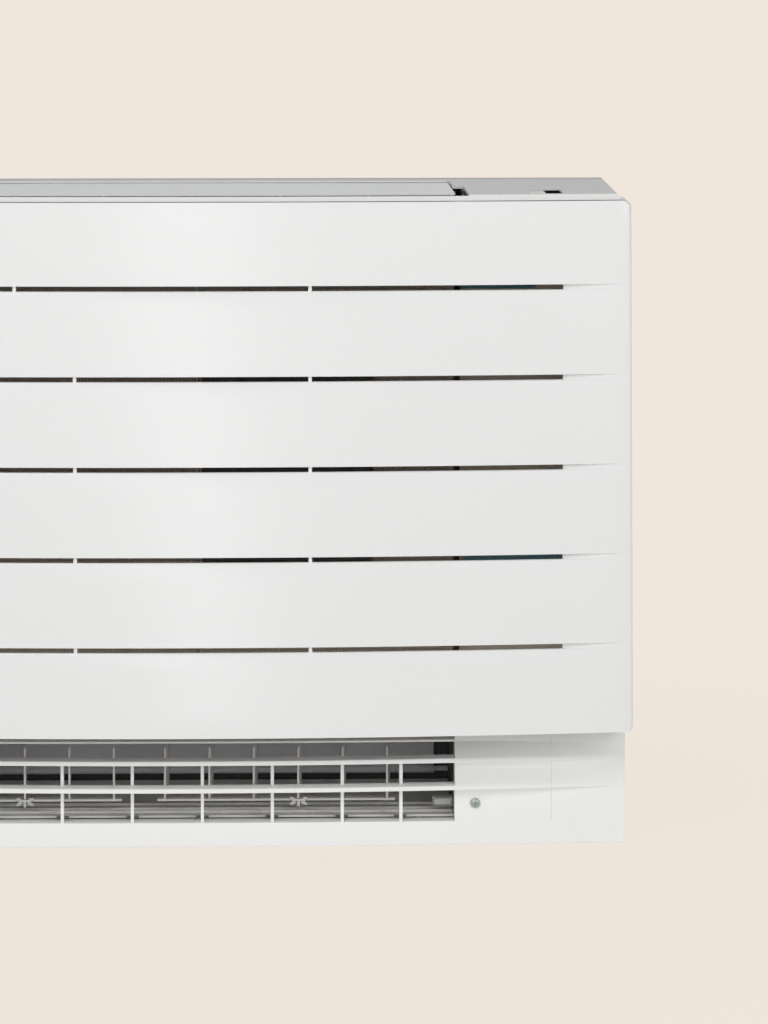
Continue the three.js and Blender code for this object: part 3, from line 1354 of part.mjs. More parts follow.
function lowerVanes() {
  [...leftVaneX, ...rightVaneX].forEach((x, i) => {
    const vane = mesh("lower_vane_" + (i + 1), lowerVane(), TOP_WHITE);
    const turn = i < LEFT_VANES ? 0 : RIGHT_VANE_TURN;
    vane.rotation.z = (-turn * Math.PI) / 180;
    vane.position.set(x, VANE_Y, 0);
    unit.add(vane);
  });

  const half = OUTLET_HALF - SEAT;
  const rear = VANE_BACK;
  let carrier = box(
    -half,
    half,
    VANE_Y - VANE_FRONT,
    VANE_Y + rear,
    carrierBottom,
    carrierBottom + CARRIER_THICK,
  );
  for (const x of [...leftVaneX, ...rightVaneX]) {
    const [low, high] = [carrierBottom - 1, carrierBottom + CARRIER_THICK + 1];
    carrier = cut(carrier, rodZ(low, high, x, VANE_Y, VANE_PIN + 2 * PLAY, 8));
  }
  add("lower_vane_carrier", carrier, DUCT_GREY);
  lowerTieBar("lower_tie_bar_left", leftVaneX, 0, LEFT_GRIP_VANE);
  lowerTieBar("lower_tie_bar_right", rightVaneX, RIGHT_VANE_TURN, RIGHT_GRIP_VANE);
}

// The bar that turns one group of vanes, with the grip that moves it by hand.
function lowerTieBar(name, vanes, turn, gripVane) {
  const angle = (turn * Math.PI) / 180;
  const [dx, dy] = [-TIE_ARM * Math.sin(angle), -TIE_ARM * Math.cos(angle)];
  const y = VANE_Y - TIE_ARM;
  const top = VANE_BOTTOM - SEAT;
  const low = top - TIE_HEIGHT;
  const overhang = TIE_OVERHANG + TIE_PIN;
  const [first, last] = [vanes[0] + dx - overhang, vanes.at(-1) + dx + overhang];
  const [front, rear] = [y - TIE_DEPTH * 0.3, y + TIE_DEPTH * 0.7];
  let bar = box(first, last, front, rear, low, top);
  const grip = vanes[gripVane] + dx;
  const [gripFront, gripTop] = [front - GRIP_REACH, low + TIE_HEIGHT];
  const web = GRIP_WEB / 2;
  bar = join(
    bar,
    box(grip - GRIP_WIDTH / 2, grip + GRIP_WIDTH / 2, gripFront, front + 1, low, gripTop),
    box(grip - web, grip + web, gripFront, front + 1, gripTop - GRIP_HEIGHT, gripTop),
  );
  const half = TIE_PIN / 2 + PLAY;
  for (const x of vanes) {
    const centre = x + dx;
    const pinY = VANE_Y + dy;
    const slotRear = pinY + TIE_SLOT;
    bar = cut(bar, box(centre - half, centre + half, pinY - half, slotRear, low - 1, top + 1));
  }
  add(name, bar, TOP_WHITE);
}

function lowerDamper() {
  const [y, z] = [DAMPER_Y, DAMPER_AXIS_Z];
  const rear = y + DAMPER_KNUCKLE;
  const half = DAMPER_HALF;
  const body = join(
    rodX(-half, half, y, z, 2 * DAMPER_KNUCKLE),
    box(-half, half, rear - DAMPER_WALL, rear, z, z + DAMPER_LENGTH),
    rodX(-OUTLET_HALF - HOUSING_WALL, OUTLET_HALF + HOUSING_WALL, y, z, DAMPER_PIN),
  );
  add("lower_damper", body, DUCT_GREY);
  const side = OUTLET_HALF + HOUSING_WALL + SEAT;
  add("damper_motor", rodX(side, side + MOTOR_BODY_LENGTH, y, z, MOTOR_BODY), STEEL);
}

// ---------------------------------------------------------------- upper outlet
function topFlap() {
  const half = FLAP_HALF;
  const frontEdge = (x) => topFront(x) + FLAP_RIM + FLAP_FRONT_GAP;
  const plate = loftX(
    (x) => [
      [frontEdge(x), FLAP_TOP + FLAP_RISE - FLAP_WALL],
      [frontEdge(x), FLAP_TOP + FLAP_RISE],
      [FLAP_AXIS_Y, FLAP_TOP],
      [FLAP_AXIS_Y, FLAP_TOP - FLAP_WALL],
    ],
    -half,
    half,
    ARC_STEPS,
  );
  const pinEnd = TOP_DUCT_HALF + HOUSING_WALL;
  let body = join(
    plate,
    rodX(-half, half, FLAP_AXIS_Y, FLAP_AXIS_Z, 2 * FLAP_KNUCKLE),
    rodX(-pinEnd, pinEnd, FLAP_AXIS_Y, FLAP_AXIS_Z, FLAP_PIN),
  );
  for (const x of FLAP_RIB_X) {
    const underside = FLAP_TOP - FLAP_WALL;
    const [low, high] = [underside - FLAP_RIB_HEIGHT, underside + (FLAP_WALL + FLAP_RISE) / 2];
    body = join(body, box(x - 1, x + 1, frontEdge(x) + 8, FLAP_AXIS_Y, low, high));
  }
  add("top_flap", body, TOP_WHITE);
  const side = pinEnd + SEAT;
  const motor = rodX(side, side + MOTOR_BODY_LENGTH, FLAP_AXIS_Y, motorZ(), MOTOR_BODY);
  add("flap_motor", motor, STEEL);
}

// The motor hangs under the top, so its body lies a little below the flap's pin.
const motorZ = () => Math.min(FLAP_AXIS_Z, TOP_INSIDE - SEAT - MOTOR_BODY / 2);

function upperVaneX(side) {
  const inner = (side * UPPER_VANE_PITCH) / 2;
  const xs = Array.from({ length: UPPER_VANES }, (_, i) => inner + side * i * UPPER_VANE_PITCH);
  return xs.sort((a, b) => a - b);
}

function upperVane() {
  const half = VANE_THICK / 2;
  const depth = UPPER_VANE_DEPTH;
  return join(
    box(-half, half, 0, depth, -UPPER_VANE_BELOW, UPPER_VANE_ABOVE),
    rodY(depth - 1, depth + UPPER_CARRIER_DEPTH + 2, 0, 0, VANE_PIN, 8),
    rodY(-UPPER_TIE_THICK - 3 * SEAT, 1, 0, UPPER_TIE_ARM, TIE_PIN, 6),
  );
}

function upperVanes() {
  const all = [...upperVaneX(-1), ...upperVaneX(1)];
  all.forEach((x, i) => {
    const vane = mesh("upper_vane_" + (i + 1), upperVane(), TOP_WHITE);
    vane.position.set(x, UPPER_VANE_FRONT, UPPER_VANE_Z);
    unit.add(vane);
  });
  const halfLength = TOP_DUCT_HALF - SEAT;
  const halfHeight = UPPER_CARRIER_HEIGHT / 2;
  const front = UPPER_VANE_REAR + 2 * SEAT;
  const rear = front + UPPER_CARRIER_DEPTH;
  let carrier = box(
    -halfLength,
    halfLength,
    front,
    rear,
    UPPER_VANE_Z - halfHeight,
    UPPER_VANE_Z + halfHeight,
  );
  for (const x of all)
    carrier = cut(carrier, rodY(front - 1, rear + 1, x, UPPER_VANE_Z, VANE_PIN + 2 * PLAY, 8));
  add("upper_vane_carrier", carrier, DUCT_GREY);
  upperTieBar("upper_tie_bar_left", upperVaneX(-1));
  upperTieBar("upper_tie_bar_right", upperVaneX(1));
}

function upperTieBar(name, vanes) {
  const rear = UPPER_VANE_FRONT - SEAT;
  const front = rear - UPPER_TIE_THICK;
  const z = UPPER_VANE_Z + UPPER_TIE_ARM;
  const half = UPPER_TIE_HEIGHT / 2;
  const overhang = TIE_OVERHANG + TIE_PIN;
  let bar = box(
    vanes[0] - overhang,
    vanes.at(-1) + overhang,
    front,
    rear,
    z - half - 1,
    z + half - 1,
  );
  const gap = TIE_PIN / 2 + PLAY;
  for (const x of vanes)
    bar = cut(bar, box(x - gap, x + gap, front - 1, rear + 1, z - gap - 4, z + gap));
  add(name, bar, TOP_WHITE);
}

// ---------------------------------------------------------------- display and button
function buttonX() {
  return displayX() - DISPLAY_WIDTH / 4;
}

function buttonY() {
  return displayFront() + SEAT + BUTTON_DEPTH / 2;
}

function display() {
  const right = displayX() + DISPLAY_WIDTH / 2 - SEAT;
  const front = displayFront() + SEAT;
  const rear = displayFront() + DISPLAY_DEPTH - SEAT;
  const floor = HEIGHT - DISPLAY_POCKET + SEAT;
  const top = HEIGHT - WINDOW_DROP;
  const window = join(
    box(right - WINDOW_WIDTH, right, front, rear, top - WINDOW_THICK, top),
    box(right - WINDOW_WIDTH + 2, right - 2, front + 2, rear - 2, floor, top - 1),
  );
  add("display_window", window, BLACK_GLOSS);
  const left = displayX() - DISPLAY_WIDTH / 2 + SEAT;
  const width = DISPLAY_WIDTH - WINDOW_WIDTH - 3 * SEAT;
  const cap = HEIGHT - BUTTON_DROP;
  const button = join(
    box(left, left + width, front, front + BUTTON_DEPTH, cap - WINDOW_THICK, cap),
    rodZ(HEIGHT - DISPLAY_POCKET - DISPLAY_WALL, cap - 1, buttonX(), buttonY(), BUTTON_STEM),
  );
  add("on_off_button", button, WHITE);
}

// ---------------------------------------------------------------- the unit
rearChassis();
frontCasing();
lowerFrontGrille();
endCover("end_cover_left", -1);
endCover("end_cover_right", 1);
baseScrew("base_screw_left", -1);
baseScrew("base_screw_right", 1);
frontPanel();
fanHousing();
airGuide();
fanImpeller();
fanShaftAndNut();
fanMotor();
coil();
drainPan();
pipe("gas_pipe", GAS_PIPE, GAS_PIPE_ROW, GAS_PIPE_REACH);
pipe("liquid_pipe", LIQUID_PIPE, LIQUID_PIPE_ROW, LIQUID_PIPE_REACH);
filters();
electronics();
ductFloor();
lowerVanes();
lowerDamper();
topFlap();
upperVanes();
display();

export default unit;
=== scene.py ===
"""Floor standing air conditioner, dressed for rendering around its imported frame.

Metres. X to the right seen from the front, Y to the back, Z up.
"""

import logging
import math
from dataclasses import dataclass
from enum import Enum
from typing import Callable, Iterable, Sequence

import bmesh
import bpy
from mathutils import Matrix, Vector


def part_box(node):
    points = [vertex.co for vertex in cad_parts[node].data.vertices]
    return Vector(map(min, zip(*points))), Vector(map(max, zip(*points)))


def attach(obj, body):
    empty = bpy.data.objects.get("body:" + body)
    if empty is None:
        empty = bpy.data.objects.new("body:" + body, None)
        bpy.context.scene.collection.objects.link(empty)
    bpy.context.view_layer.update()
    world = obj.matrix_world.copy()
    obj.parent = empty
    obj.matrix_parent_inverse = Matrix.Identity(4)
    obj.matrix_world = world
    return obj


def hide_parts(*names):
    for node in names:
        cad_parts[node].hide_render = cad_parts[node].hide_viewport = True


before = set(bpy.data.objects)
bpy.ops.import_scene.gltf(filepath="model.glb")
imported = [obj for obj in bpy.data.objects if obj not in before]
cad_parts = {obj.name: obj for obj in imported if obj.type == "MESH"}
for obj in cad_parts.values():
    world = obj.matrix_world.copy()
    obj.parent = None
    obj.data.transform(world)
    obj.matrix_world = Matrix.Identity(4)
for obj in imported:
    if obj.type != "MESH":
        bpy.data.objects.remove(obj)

LOG = logging.getLogger("air_conditioner")
SHARP_ANGLE = math.radians(32)  # a sharper fold is shaded as an edge
ROUNDED_ANGLE = math.radians(38)  # a sharper fold is rounded
ROUNDING_STEPS = 2
WELD_DISTANCE = 0.00001  # joins the corners of the frame's nodes
SEAM_DISTANCE = 1e-7  # closes the seam of a swept bar
TOLERANCE = 1e-6
PIN_SIDES = 20
LOW_PLACE = 0.55  # value of a pattern between its high places
BRUSH_STRETCH = (0.06, 1.0, 1.0)
WAVE_RATE = 20.0  # radians of the wave texture in a metre at a scale of 1
HALF_PI = math.pi / 2
Colour = tuple[float, float, float]
Corner = tuple[float, float, float]
Outline = list[tuple[float, float]]
Section = Callable[[float], Outline]
Profile = tuple[tuple[float, float], ...]
Socket = bpy.types.NodeSocket
Inputs = dict[str | int, float | tuple[float, ...] | Socket]


# ---------------------------------------------------------------- finishes
class NodeTree:
    """The nodes of one material or world, with short ways to add and join them."""

    def __init__(self, owner: bpy.types.ID) -> None:
        """Turns on the nodes of a material or a world."""
        owner.use_nodes = True
        self.nodes = owner.node_tree.nodes
        self.links = owner.node_tree.links

    def add(self, kind: str, inputs: Inputs | None = None, **settings: str) -> bpy.types.Node:
        """Adds a node.

        Args:
            kind: Its type, without the words ShaderNode.
            inputs: What goes into its inputs, by their name or number.
            settings: Its settings by name.

        Returns:
            The node.
        """
        node = self.nodes.new("ShaderNode" + kind)
        for name, value in settings.items():
            setattr(node, name, value)
        self.feed(node, inputs or {})
        return node

    def feed(self, node: bpy.types.Node, inputs: Inputs) -> None:
        """Sets the inputs of a node.

        Args:
            node: The node.
            inputs: A value to set or a socket to join, by the input's name or number.
        """
        for key, value in inputs.items():
            if isinstance(value, Socket):
                self.links.new(value, node.inputs[key])
            else:
                node.inputs[key].default_value = value

    def ramp(
        self,
        value: Socket,
        source: tuple[float, float],
        target: tuple[float, float],
        kind: str = "LINEAR",
    ) -> Socket:
        """Maps a value from one range to another and holds it at the ends.

        Args:
            value: Socket with the value.
            source: The range that it comes from.
            target: The range that it goes to.
            kind: The way from one end to the other.

        Returns:
            A socket with the mapped value.
        """
        ends = dict(zip(("From Min", "From Max", "To Min", "To Max"), (*source, *target)))
        node = self.add("MapRange", {**ends, "Value": value}, interpolation_type=kind)
        return node.outputs["Result"]


class Pattern(Enum):
    """The fine pattern that a finish shows."""

    GRAIN = "grain"
    WEAVE = "weave"
    FINS = "fins"
    SPANGLE = "spangle"
    HONEYCOMB = "honeycomb"
    BRUSHED = "brushed"


# The texture's values between which the relief of a pattern rises.
MARKS: dict[Pattern, tuple[float, float]] = {
    Pattern.GRAIN: (0.3, 0.7),
    Pattern.BRUSHED: (0.3, 0.7),
    Pattern.WEAVE: (0.45, 0.9),
    Pattern.FINS: (0.1, 0.6),
    Pattern.SPANGLE: (0.0, 0.35),
    Pattern.HONEYCOMB: (0.0, 0.35),
}


@dataclass(frozen=True)
class Finish:
    """One surface: its colour, gloss and fine pattern.

    Attributes:
        scale: Number of grains or cells, or of stripes and gaps together, in a metre.
        depth: Height of the pattern's relief in metres.
        spread: How far the colour wanders to the light and the dark side.
        coat: Strength of a clear coat.
        wear: How far the roughness wanders up and down.
        shine: Strength of the plain reflection.
        cloud_scale: Number of the wide, faint changes of colour and gloss in a metre.
        cloud_detail: How fine the edges of those changes are.
        grain_detail: How fine the edges of the grains are.
        relief_share: How strongly the pattern's low places darken the colour, in times the
            spread; this paints shade into the hollows of fins, weave and cells, and random tone
            into grain and spangle.
    """

    name: str
    colour: Colour
    roughness: float = 0.4
    metallic: float = 0.0
    pattern: Pattern = Pattern.GRAIN
    scale: float = 1400.0
    depth: float = 0.00004
    spread: float = 0.03
    coat: float = 0.0
    wear: float = 0.06
    shine: float = 0.5
    coat_roughness: float = 0.15
    cloud_scale: float = 7.0
    cloud_detail: float = 5.0
    grain_detail: float = 2.0
    relief_share: float = 8.0

    def material(self) -> bpy.types.Material:
        """Makes the material, or finds it if it was made before.

        Returns:
            The material with its nodes.
        """
        found = bpy.data.materials.get(self.name)
        if found:
            return found
        made = bpy.data.materials.new(self.name)
        tree = NodeTree(made)
        place = tree.add("TexCoord").outputs["Object"]
        relief = self._relief(tree, place)
        cloud = tree.add(
            "TexNoise", {"Scale": self.cloud_scale, "Detail": self.cloud_detail, "Vector": place}
        ).outputs["Fac"]
        shades = {"A": self._shade(1.0 - self.spread), "B": self._shade(1.0 + self.spread)}
        blend = tree.add("Mix", {**shades, "Factor": cloud}, data_type="RGBA")
        # The pattern's low places are painted darker: painted shade in the hollows between fins,
        # threads and cells, random tone on grain, brushing and spangle.
        share = min(1.0, self.spread * self.relief_share)
        colour = tree.add(
            "Mix",
            {"Factor": share, "A": blend.outputs["Result"], "B": relief},
            data_type="RGBA",
            blend_type="MULTIPLY",
        )
        gloss = (self.roughness - self.wear, self.roughness + self.wear)
        bump = tree.add("Bump", {"Distance": self.depth, "Height": relief})
        tree.feed(
            tree.nodes["Principled BSDF"],
            {
                "Base Color": colour.outputs["Result"],
                "Metallic": self.metallic,
                "Roughness": tree.ramp(cloud, (0.0, 1.0), gloss),
                "Specular IOR Level": self.shine,
                "Coat Weight": self.coat,
                "Coat Roughness": self.coat_roughness,
                "Normal": bump.outputs["Normal"],
            },
        )
        return made

    def _shade(self, share: float) -> tuple[float, float, float, float]:
        """The colour made lighter or darker by a share."""
        return tuple(min(1.0, c * share) for c in self.colour) + (1.0,)

    def _relief(self, tree: NodeTree, place: Socket) -> Socket:
        """Adds the nodes of the fine pattern.

        Args:
            tree: Nodes of the material.
            place: Socket with the place on the object.

        Returns:
            A socket that is 1 on the high places of the pattern and lower between them.
        """
        if self.pattern in (Pattern.SPANGLE, Pattern.HONEYCOMB):
            spangle = self.pattern is Pattern.SPANGLE
            cells = tree.add(
                "TexVoronoi",
                {"Scale": self.scale, "Randomness": 1.0 if spangle else 0.0, "Vector": place},
                feature="F1" if spangle else "DISTANCE_TO_EDGE",
            )
            value = cells.outputs["Color" if spangle else "Distance"]
        elif self.pattern in (Pattern.GRAIN, Pattern.BRUSHED):
            if self.pattern is Pattern.BRUSHED:
                stretch = tree.add("Mapping", {"Scale": BRUSH_STRETCH, "Vector": place})
                place = stretch.outputs["Vector"]
            value = tree.add(
                "TexNoise", {"Scale": self.scale, "Detail": self.grain_detail, "Vector": place}
            ).outputs["Fac"]
        else:
            value = self._wave(tree, place, "X")
            if self.pattern is Pattern.WEAVE:
                other = self._wave(tree, place, "Z")
                over = tree.add("Math", {0: value, 1: other}, operation="MAXIMUM")
                value = over.outputs["Value"]
        return tree.ramp(value, MARKS[self.pattern], (LOW_PLACE, 1.0))

    def _wave(self, tree: NodeTree, place: Socket, axis: str) -> Socket:
        """Adds even stripes across one axis.

        Args:
            tree: Nodes of the material.
            place: Socket with the place on the object.
            axis: The axis that the stripes cross.

        Returns:
            A socket with the height of the stripes.
        """
        scale = self.scale * math.pi / WAVE_RATE
        wave = tree.add("TexWave", {"Scale": scale, "Vector": place}, bands_direction=axis)
        return wave.outputs["Fac"]


SATIN_WHITE = Finish("satin_white_plastic", (0.84, 0.84, 0.835), 0.36, coat=0.45, spread=0.01)
# The base's white, set lighter than the panel's to make up for the shade that the panel casts on
# it: partly its own tone, partly painted light.
BASE_WHITE = Finish("base_white_plastic", (0.90, 0.90, 0.885), 0.42, spread=0.012)
# The casing's white, set a little darker than the panel's so that its top reads grey: partly its
# own tone, partly painted shade.
CASING_WHITE = Finish(
    "casing_plastic", (0.79, 0.78, 0.77), 0.48, scale=900.0, spread=0.015, shine=0.35
)
FLAP_GREY = Finish(
    "flap_grey_plastic", (0.86, 0.87, 0.87), 0.36, scale=900.0, spread=0.015, shine=0.4
)
CHASSIS_GREY = Finish("chassis_grey_plastic", (0.60, 0.59, 0.575), 0.5, scale=900.0, spread=0.03)
VANE_WHITE = Finish("vane_plastic", (0.86, 0.85, 0.83), 0.45, spread=0.03)
FLOOR_BEIGE = Finish("duct_floor_plastic", (0.88, 0.865, 0.825), 0.5, spread=0.03)
DAMPER_GREY = Finish("damper_plastic", (0.88, 0.86, 0.875), 0.6, spread=0.04, depth=0.0001)
DUCT_GREY = Finish("duct_plastic", (0.30, 0.29, 0.29), 0.6, spread=0.05, depth=0.0001)
HOUSING_DARK = Finish("housing_plastic", (0.08, 0.076, 0.08), 0.6, spread=0.06, depth=0.0001)
DARK_PLASTIC = Finish("dark_plastic", (0.06, 0.055, 0.05), 0.55, spread=0.08)
FAN_PLASTIC = Finish("fan_plastic", (0.62, 0.61, 0.58), 0.45, spread=0.04)
FILTER_MESH = Finish(
    "filter_mesh",
    (0.62, 0.53, 0.45),
    0.75,
    pattern=Pattern.WEAVE,
    scale=700.0,
    depth=0.0004,
    spread=0.1,
)
CASSETTE_BLACK = Finish(
    "cassette_honeycomb",
    (0.12, 0.105, 0.095),
    0.7,
    pattern=Pattern.HONEYCOMB,
    scale=260.0,
    depth=0.0008,
)
FIN_METAL = Finish(
    "fin_aluminium",
    (0.62, 0.63, 0.64),
    0.45,
    0.85,
    Pattern.FINS,
    scale=620.0,
    depth=0.0006,
    spread=0.08,
)
COPPER = Finish(
    "drawn_copper", (0.60, 0.30, 0.17), 0.34, 1.0, Pattern.BRUSHED, scale=500.0, spread=0.08
)
GALVANISED = Finish(
    "galvanised_sheet", (0.80, 0.71, 0.61), 0.5, 0.3, Pattern.SPANGLE, scale=160.0, spread=0.025
)
BRIGHT_STEEL = Finish(
    "bright_steel", (0.58, 0.57, 0.55), 0.3, 1.0, Pattern.BRUSHED, scale=900.0, spread=0.05
)
ZINC = Finish(
    "zinc_plate", (0.50, 0.54, 0.51), 0.36, 0.9, Pattern.BRUSHED, scale=1200.0, spread=0.06
)
MOTOR_PAINT = Finish("motor_paint", (0.30, 0.30, 0.30), 0.4, 0.4, spread=0.05)
BLUE_GREEN = Finish("blue_green_plastic", (0.03, 0.27, 0.36), 0.4, spread=0.05)
BOARD_GREEN = Finish("circuit_board", (0.03, 0.12, 0.05), 0.35, coat=0.4, spread=0.1)
BLACK_WINDOW = Finish("black_window", (0.01, 0.01, 0.011), 0.5, spread=0.05, wear=0.02, shine=0.0)


# ---------------------------------------------------------------- making pieces
class Workshop:
    """Tools that turn bmesh work into finished pieces."""

    def __init__(self) -> None:
        """Starts with an empty list of pieces."""
        self.made: list[bpy.types.Object] = []

    def piece(
        self,
        name: str,
        bm: bmesh.types.BMesh,
        finish: Finish,
        body: str,
        slot: str,
        replaces: Sequence[str] = (),
        soften: float = 0.0,
        thickness: float = 0.0,
    ) -> bpy.types.Object:
        """Turns a bmesh into a named object that rides on a body of the frame.

        Args:
            name: Name of the piece.
            bm: The shape; it is freed here.
            finish: Its surface.
            body: Body that carries it.
            slot: Material slot of the record; not used.
            replaces: Nodes of the frame that it stands for.
            soften: Width of the rounding on its edges.
            thickness: Wall given to an open sheet, inwards.

        Returns:
            The new object.
        """
        mesh = bpy.data.meshes.new(name)
        for face in bm.faces:
            face.smooth = True
        bm.to_mesh(mesh)
        bm.free()
        mesh.set_sharp_from_angle(angle=SHARP_ANGLE)
        made = bpy.data.objects.new(name, mesh)
        bpy.context.scene.collection.objects.link(made)
        made.data.materials.append(finish.material())
        if thickness:
            wall = made.modifiers.new("wall", "SOLIDIFY")
            wall.thickness = thickness
            wall.offset = -1.0
        if soften:
            self._soft_edges(made, soften).harden_normals = True
        if replaces:
            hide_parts(*replaces)
        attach(made, body)
        self.made.append(made)
        LOG.info("%s rides on %s", name, body)
        return made

    def dress(self, node: str, finish: Finish, soften: float = 0.0) -> None:
        """Gives a node of the frame its finish and, if asked, soft edges.

        Args:
            node: Name of the node.
            finish: Its surface.
            soften: Width of the rounding on its edges.
        """
        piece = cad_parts[node]
        piece.data.materials.clear()
        piece.data.materials.append(finish.material())
        if soften:
            weld = piece.modifiers.new("weld", "WELD")
            weld.merge_threshold = WELD_DISTANCE
            self._soft_edges(piece, soften)
        LOG.info("%s dressed in %s", node, finish.name)

    @staticmethod
    def _soft_edges(piece: bpy.types.Object, width: float) -> bpy.types.Modifier:
        """Rounds the sharp edges of a piece with a modifier and returns it."""
        edge = piece.modifiers.new("soft_edges", "BEVEL")
        edge.width = width
        edge.segments = ROUNDING_STEPS
        edge.limit_method = "ANGLE"
        edge.angle_limit = ROUNDED_ANGLE
        return edge

    @staticmethod
    def block(
        bm: bmesh.types.BMesh, low: Corner, high: Corner, soften: float = 0.0
    ) -> list[bmesh.types.BMVert]:
        """Adds a box between two corners.

        Args:
            bm: Where it goes.
            low: Its lowest corner.
            high: Its highest corner.
            soften: Width of the rounding on its edges.

        Returns:
            Its vertices before any rounding.
        """
        middle = [(a + b) / 2 for a, b in zip(low, high)]
        size = [b - a for a, b in zip(low, high)]
        place = Matrix.Translation(middle) @ Matrix.Diagonal((*size, 1.0))
        verts = bmesh.ops.create_cube(bm, size=1.0, matrix=place)["verts"]
        if soften:
            edges = list({e for v in verts for e in v.link_edges})
            bmesh.ops.bevel(
                bm,
                geom=edges,
                offset=soften,
                segments=ROUNDING_STEPS,
                profile=0.5,
                affect="EDGES",
                material=-1,
            )
        return verts

    @staticmethod
    def disc(
        bm: bmesh.types.BMesh, centre: Corner, radius: float, depth: float, axis: str
    ) -> None:
        """Adds a closed cylinder.

        Args:
            bm: Where it goes.
            centre: Its middle.
            radius: Its radius.
            depth: Its length.
            axis: Axis about which it is turned a quarter from upright.
        """
        bmesh.ops.create_cone(
            bm,
            cap_ends=True,
            segments=PIN_SIDES,
            radius1=radius,
            radius2=radius,
            depth=depth,
            matrix=Matrix.Translation(centre) @ Matrix.Rotation(HALF_PI, 4, axis),
        )

    @staticmethod
    def sheet(
        bm: bmesh.types.BMesh, columns: int, rows: int, place: Callable[[int, int], Corner]
    ) -> list[bmesh.types.BMFace]:
        """Adds a grid and moves each of its corners to its place.

        Args:
            bm: Where it goes.
            columns: Number of columns of corners.
            rows: Number of rows of corners.
            place: Gives the place of a corner from its column and row.

        Returns:
            The faces of the sheet.
        """
        before = set(bm.faces)
        grid = bmesh.ops.create_grid(bm, x_segments=columns - 1, y_segments=rows - 1, size=1.0)
        for vert in grid["verts"]:
            column = round((vert.co.x + 1.0) / 2.0 * (columns - 1))
            row = round((vert.co.y + 1.0) / 2.0 * (rows - 1))
            vert.co = place(column, row)
        return [f for f in bm.faces if f not in before]

    @classmethod
    def swept(cls, bm: bmesh.types.BMesh, section: Section, stations: Sequence[float]) -> None:
        """Adds a closed bar along X whose section changes on the way.

        Args:
            bm: Where it goes.
            section: Gives the outline in Y and Z at a place along X.
            stations: The places along X.
        """
        rings = [section(x) for x in stations]
        count = len(rings[0])
        faces = cls.sheet(
            bm, len(stations), count + 1, lambda i, j: (stations[i], *rings[i][j % count])
        )
        verts = list({v for f in faces for v in f.verts})
        bmesh.ops.remove_doubles(bm, verts=verts, dist=SEAM_DISTANCE)
        verts = [v for v in verts if v.is_valid]
        edges = list({e for v in verts for e in v.link_edges if e.is_boundary})
        made = bmesh.ops.holes_fill(bm, edges=edges, sides=0)["faces"]
        around = list({f for v in verts for f in v.link_faces} | set(made))
        bmesh.ops.recalc_face_normals(bm, faces=around)

    @staticmethod
    def even(low: float, high: float, steps: int) -> list[float]:
        """Evenly spaced values from low to high, both included."""
        return [low + (high - low) * i / steps for i in range(steps + 1)]


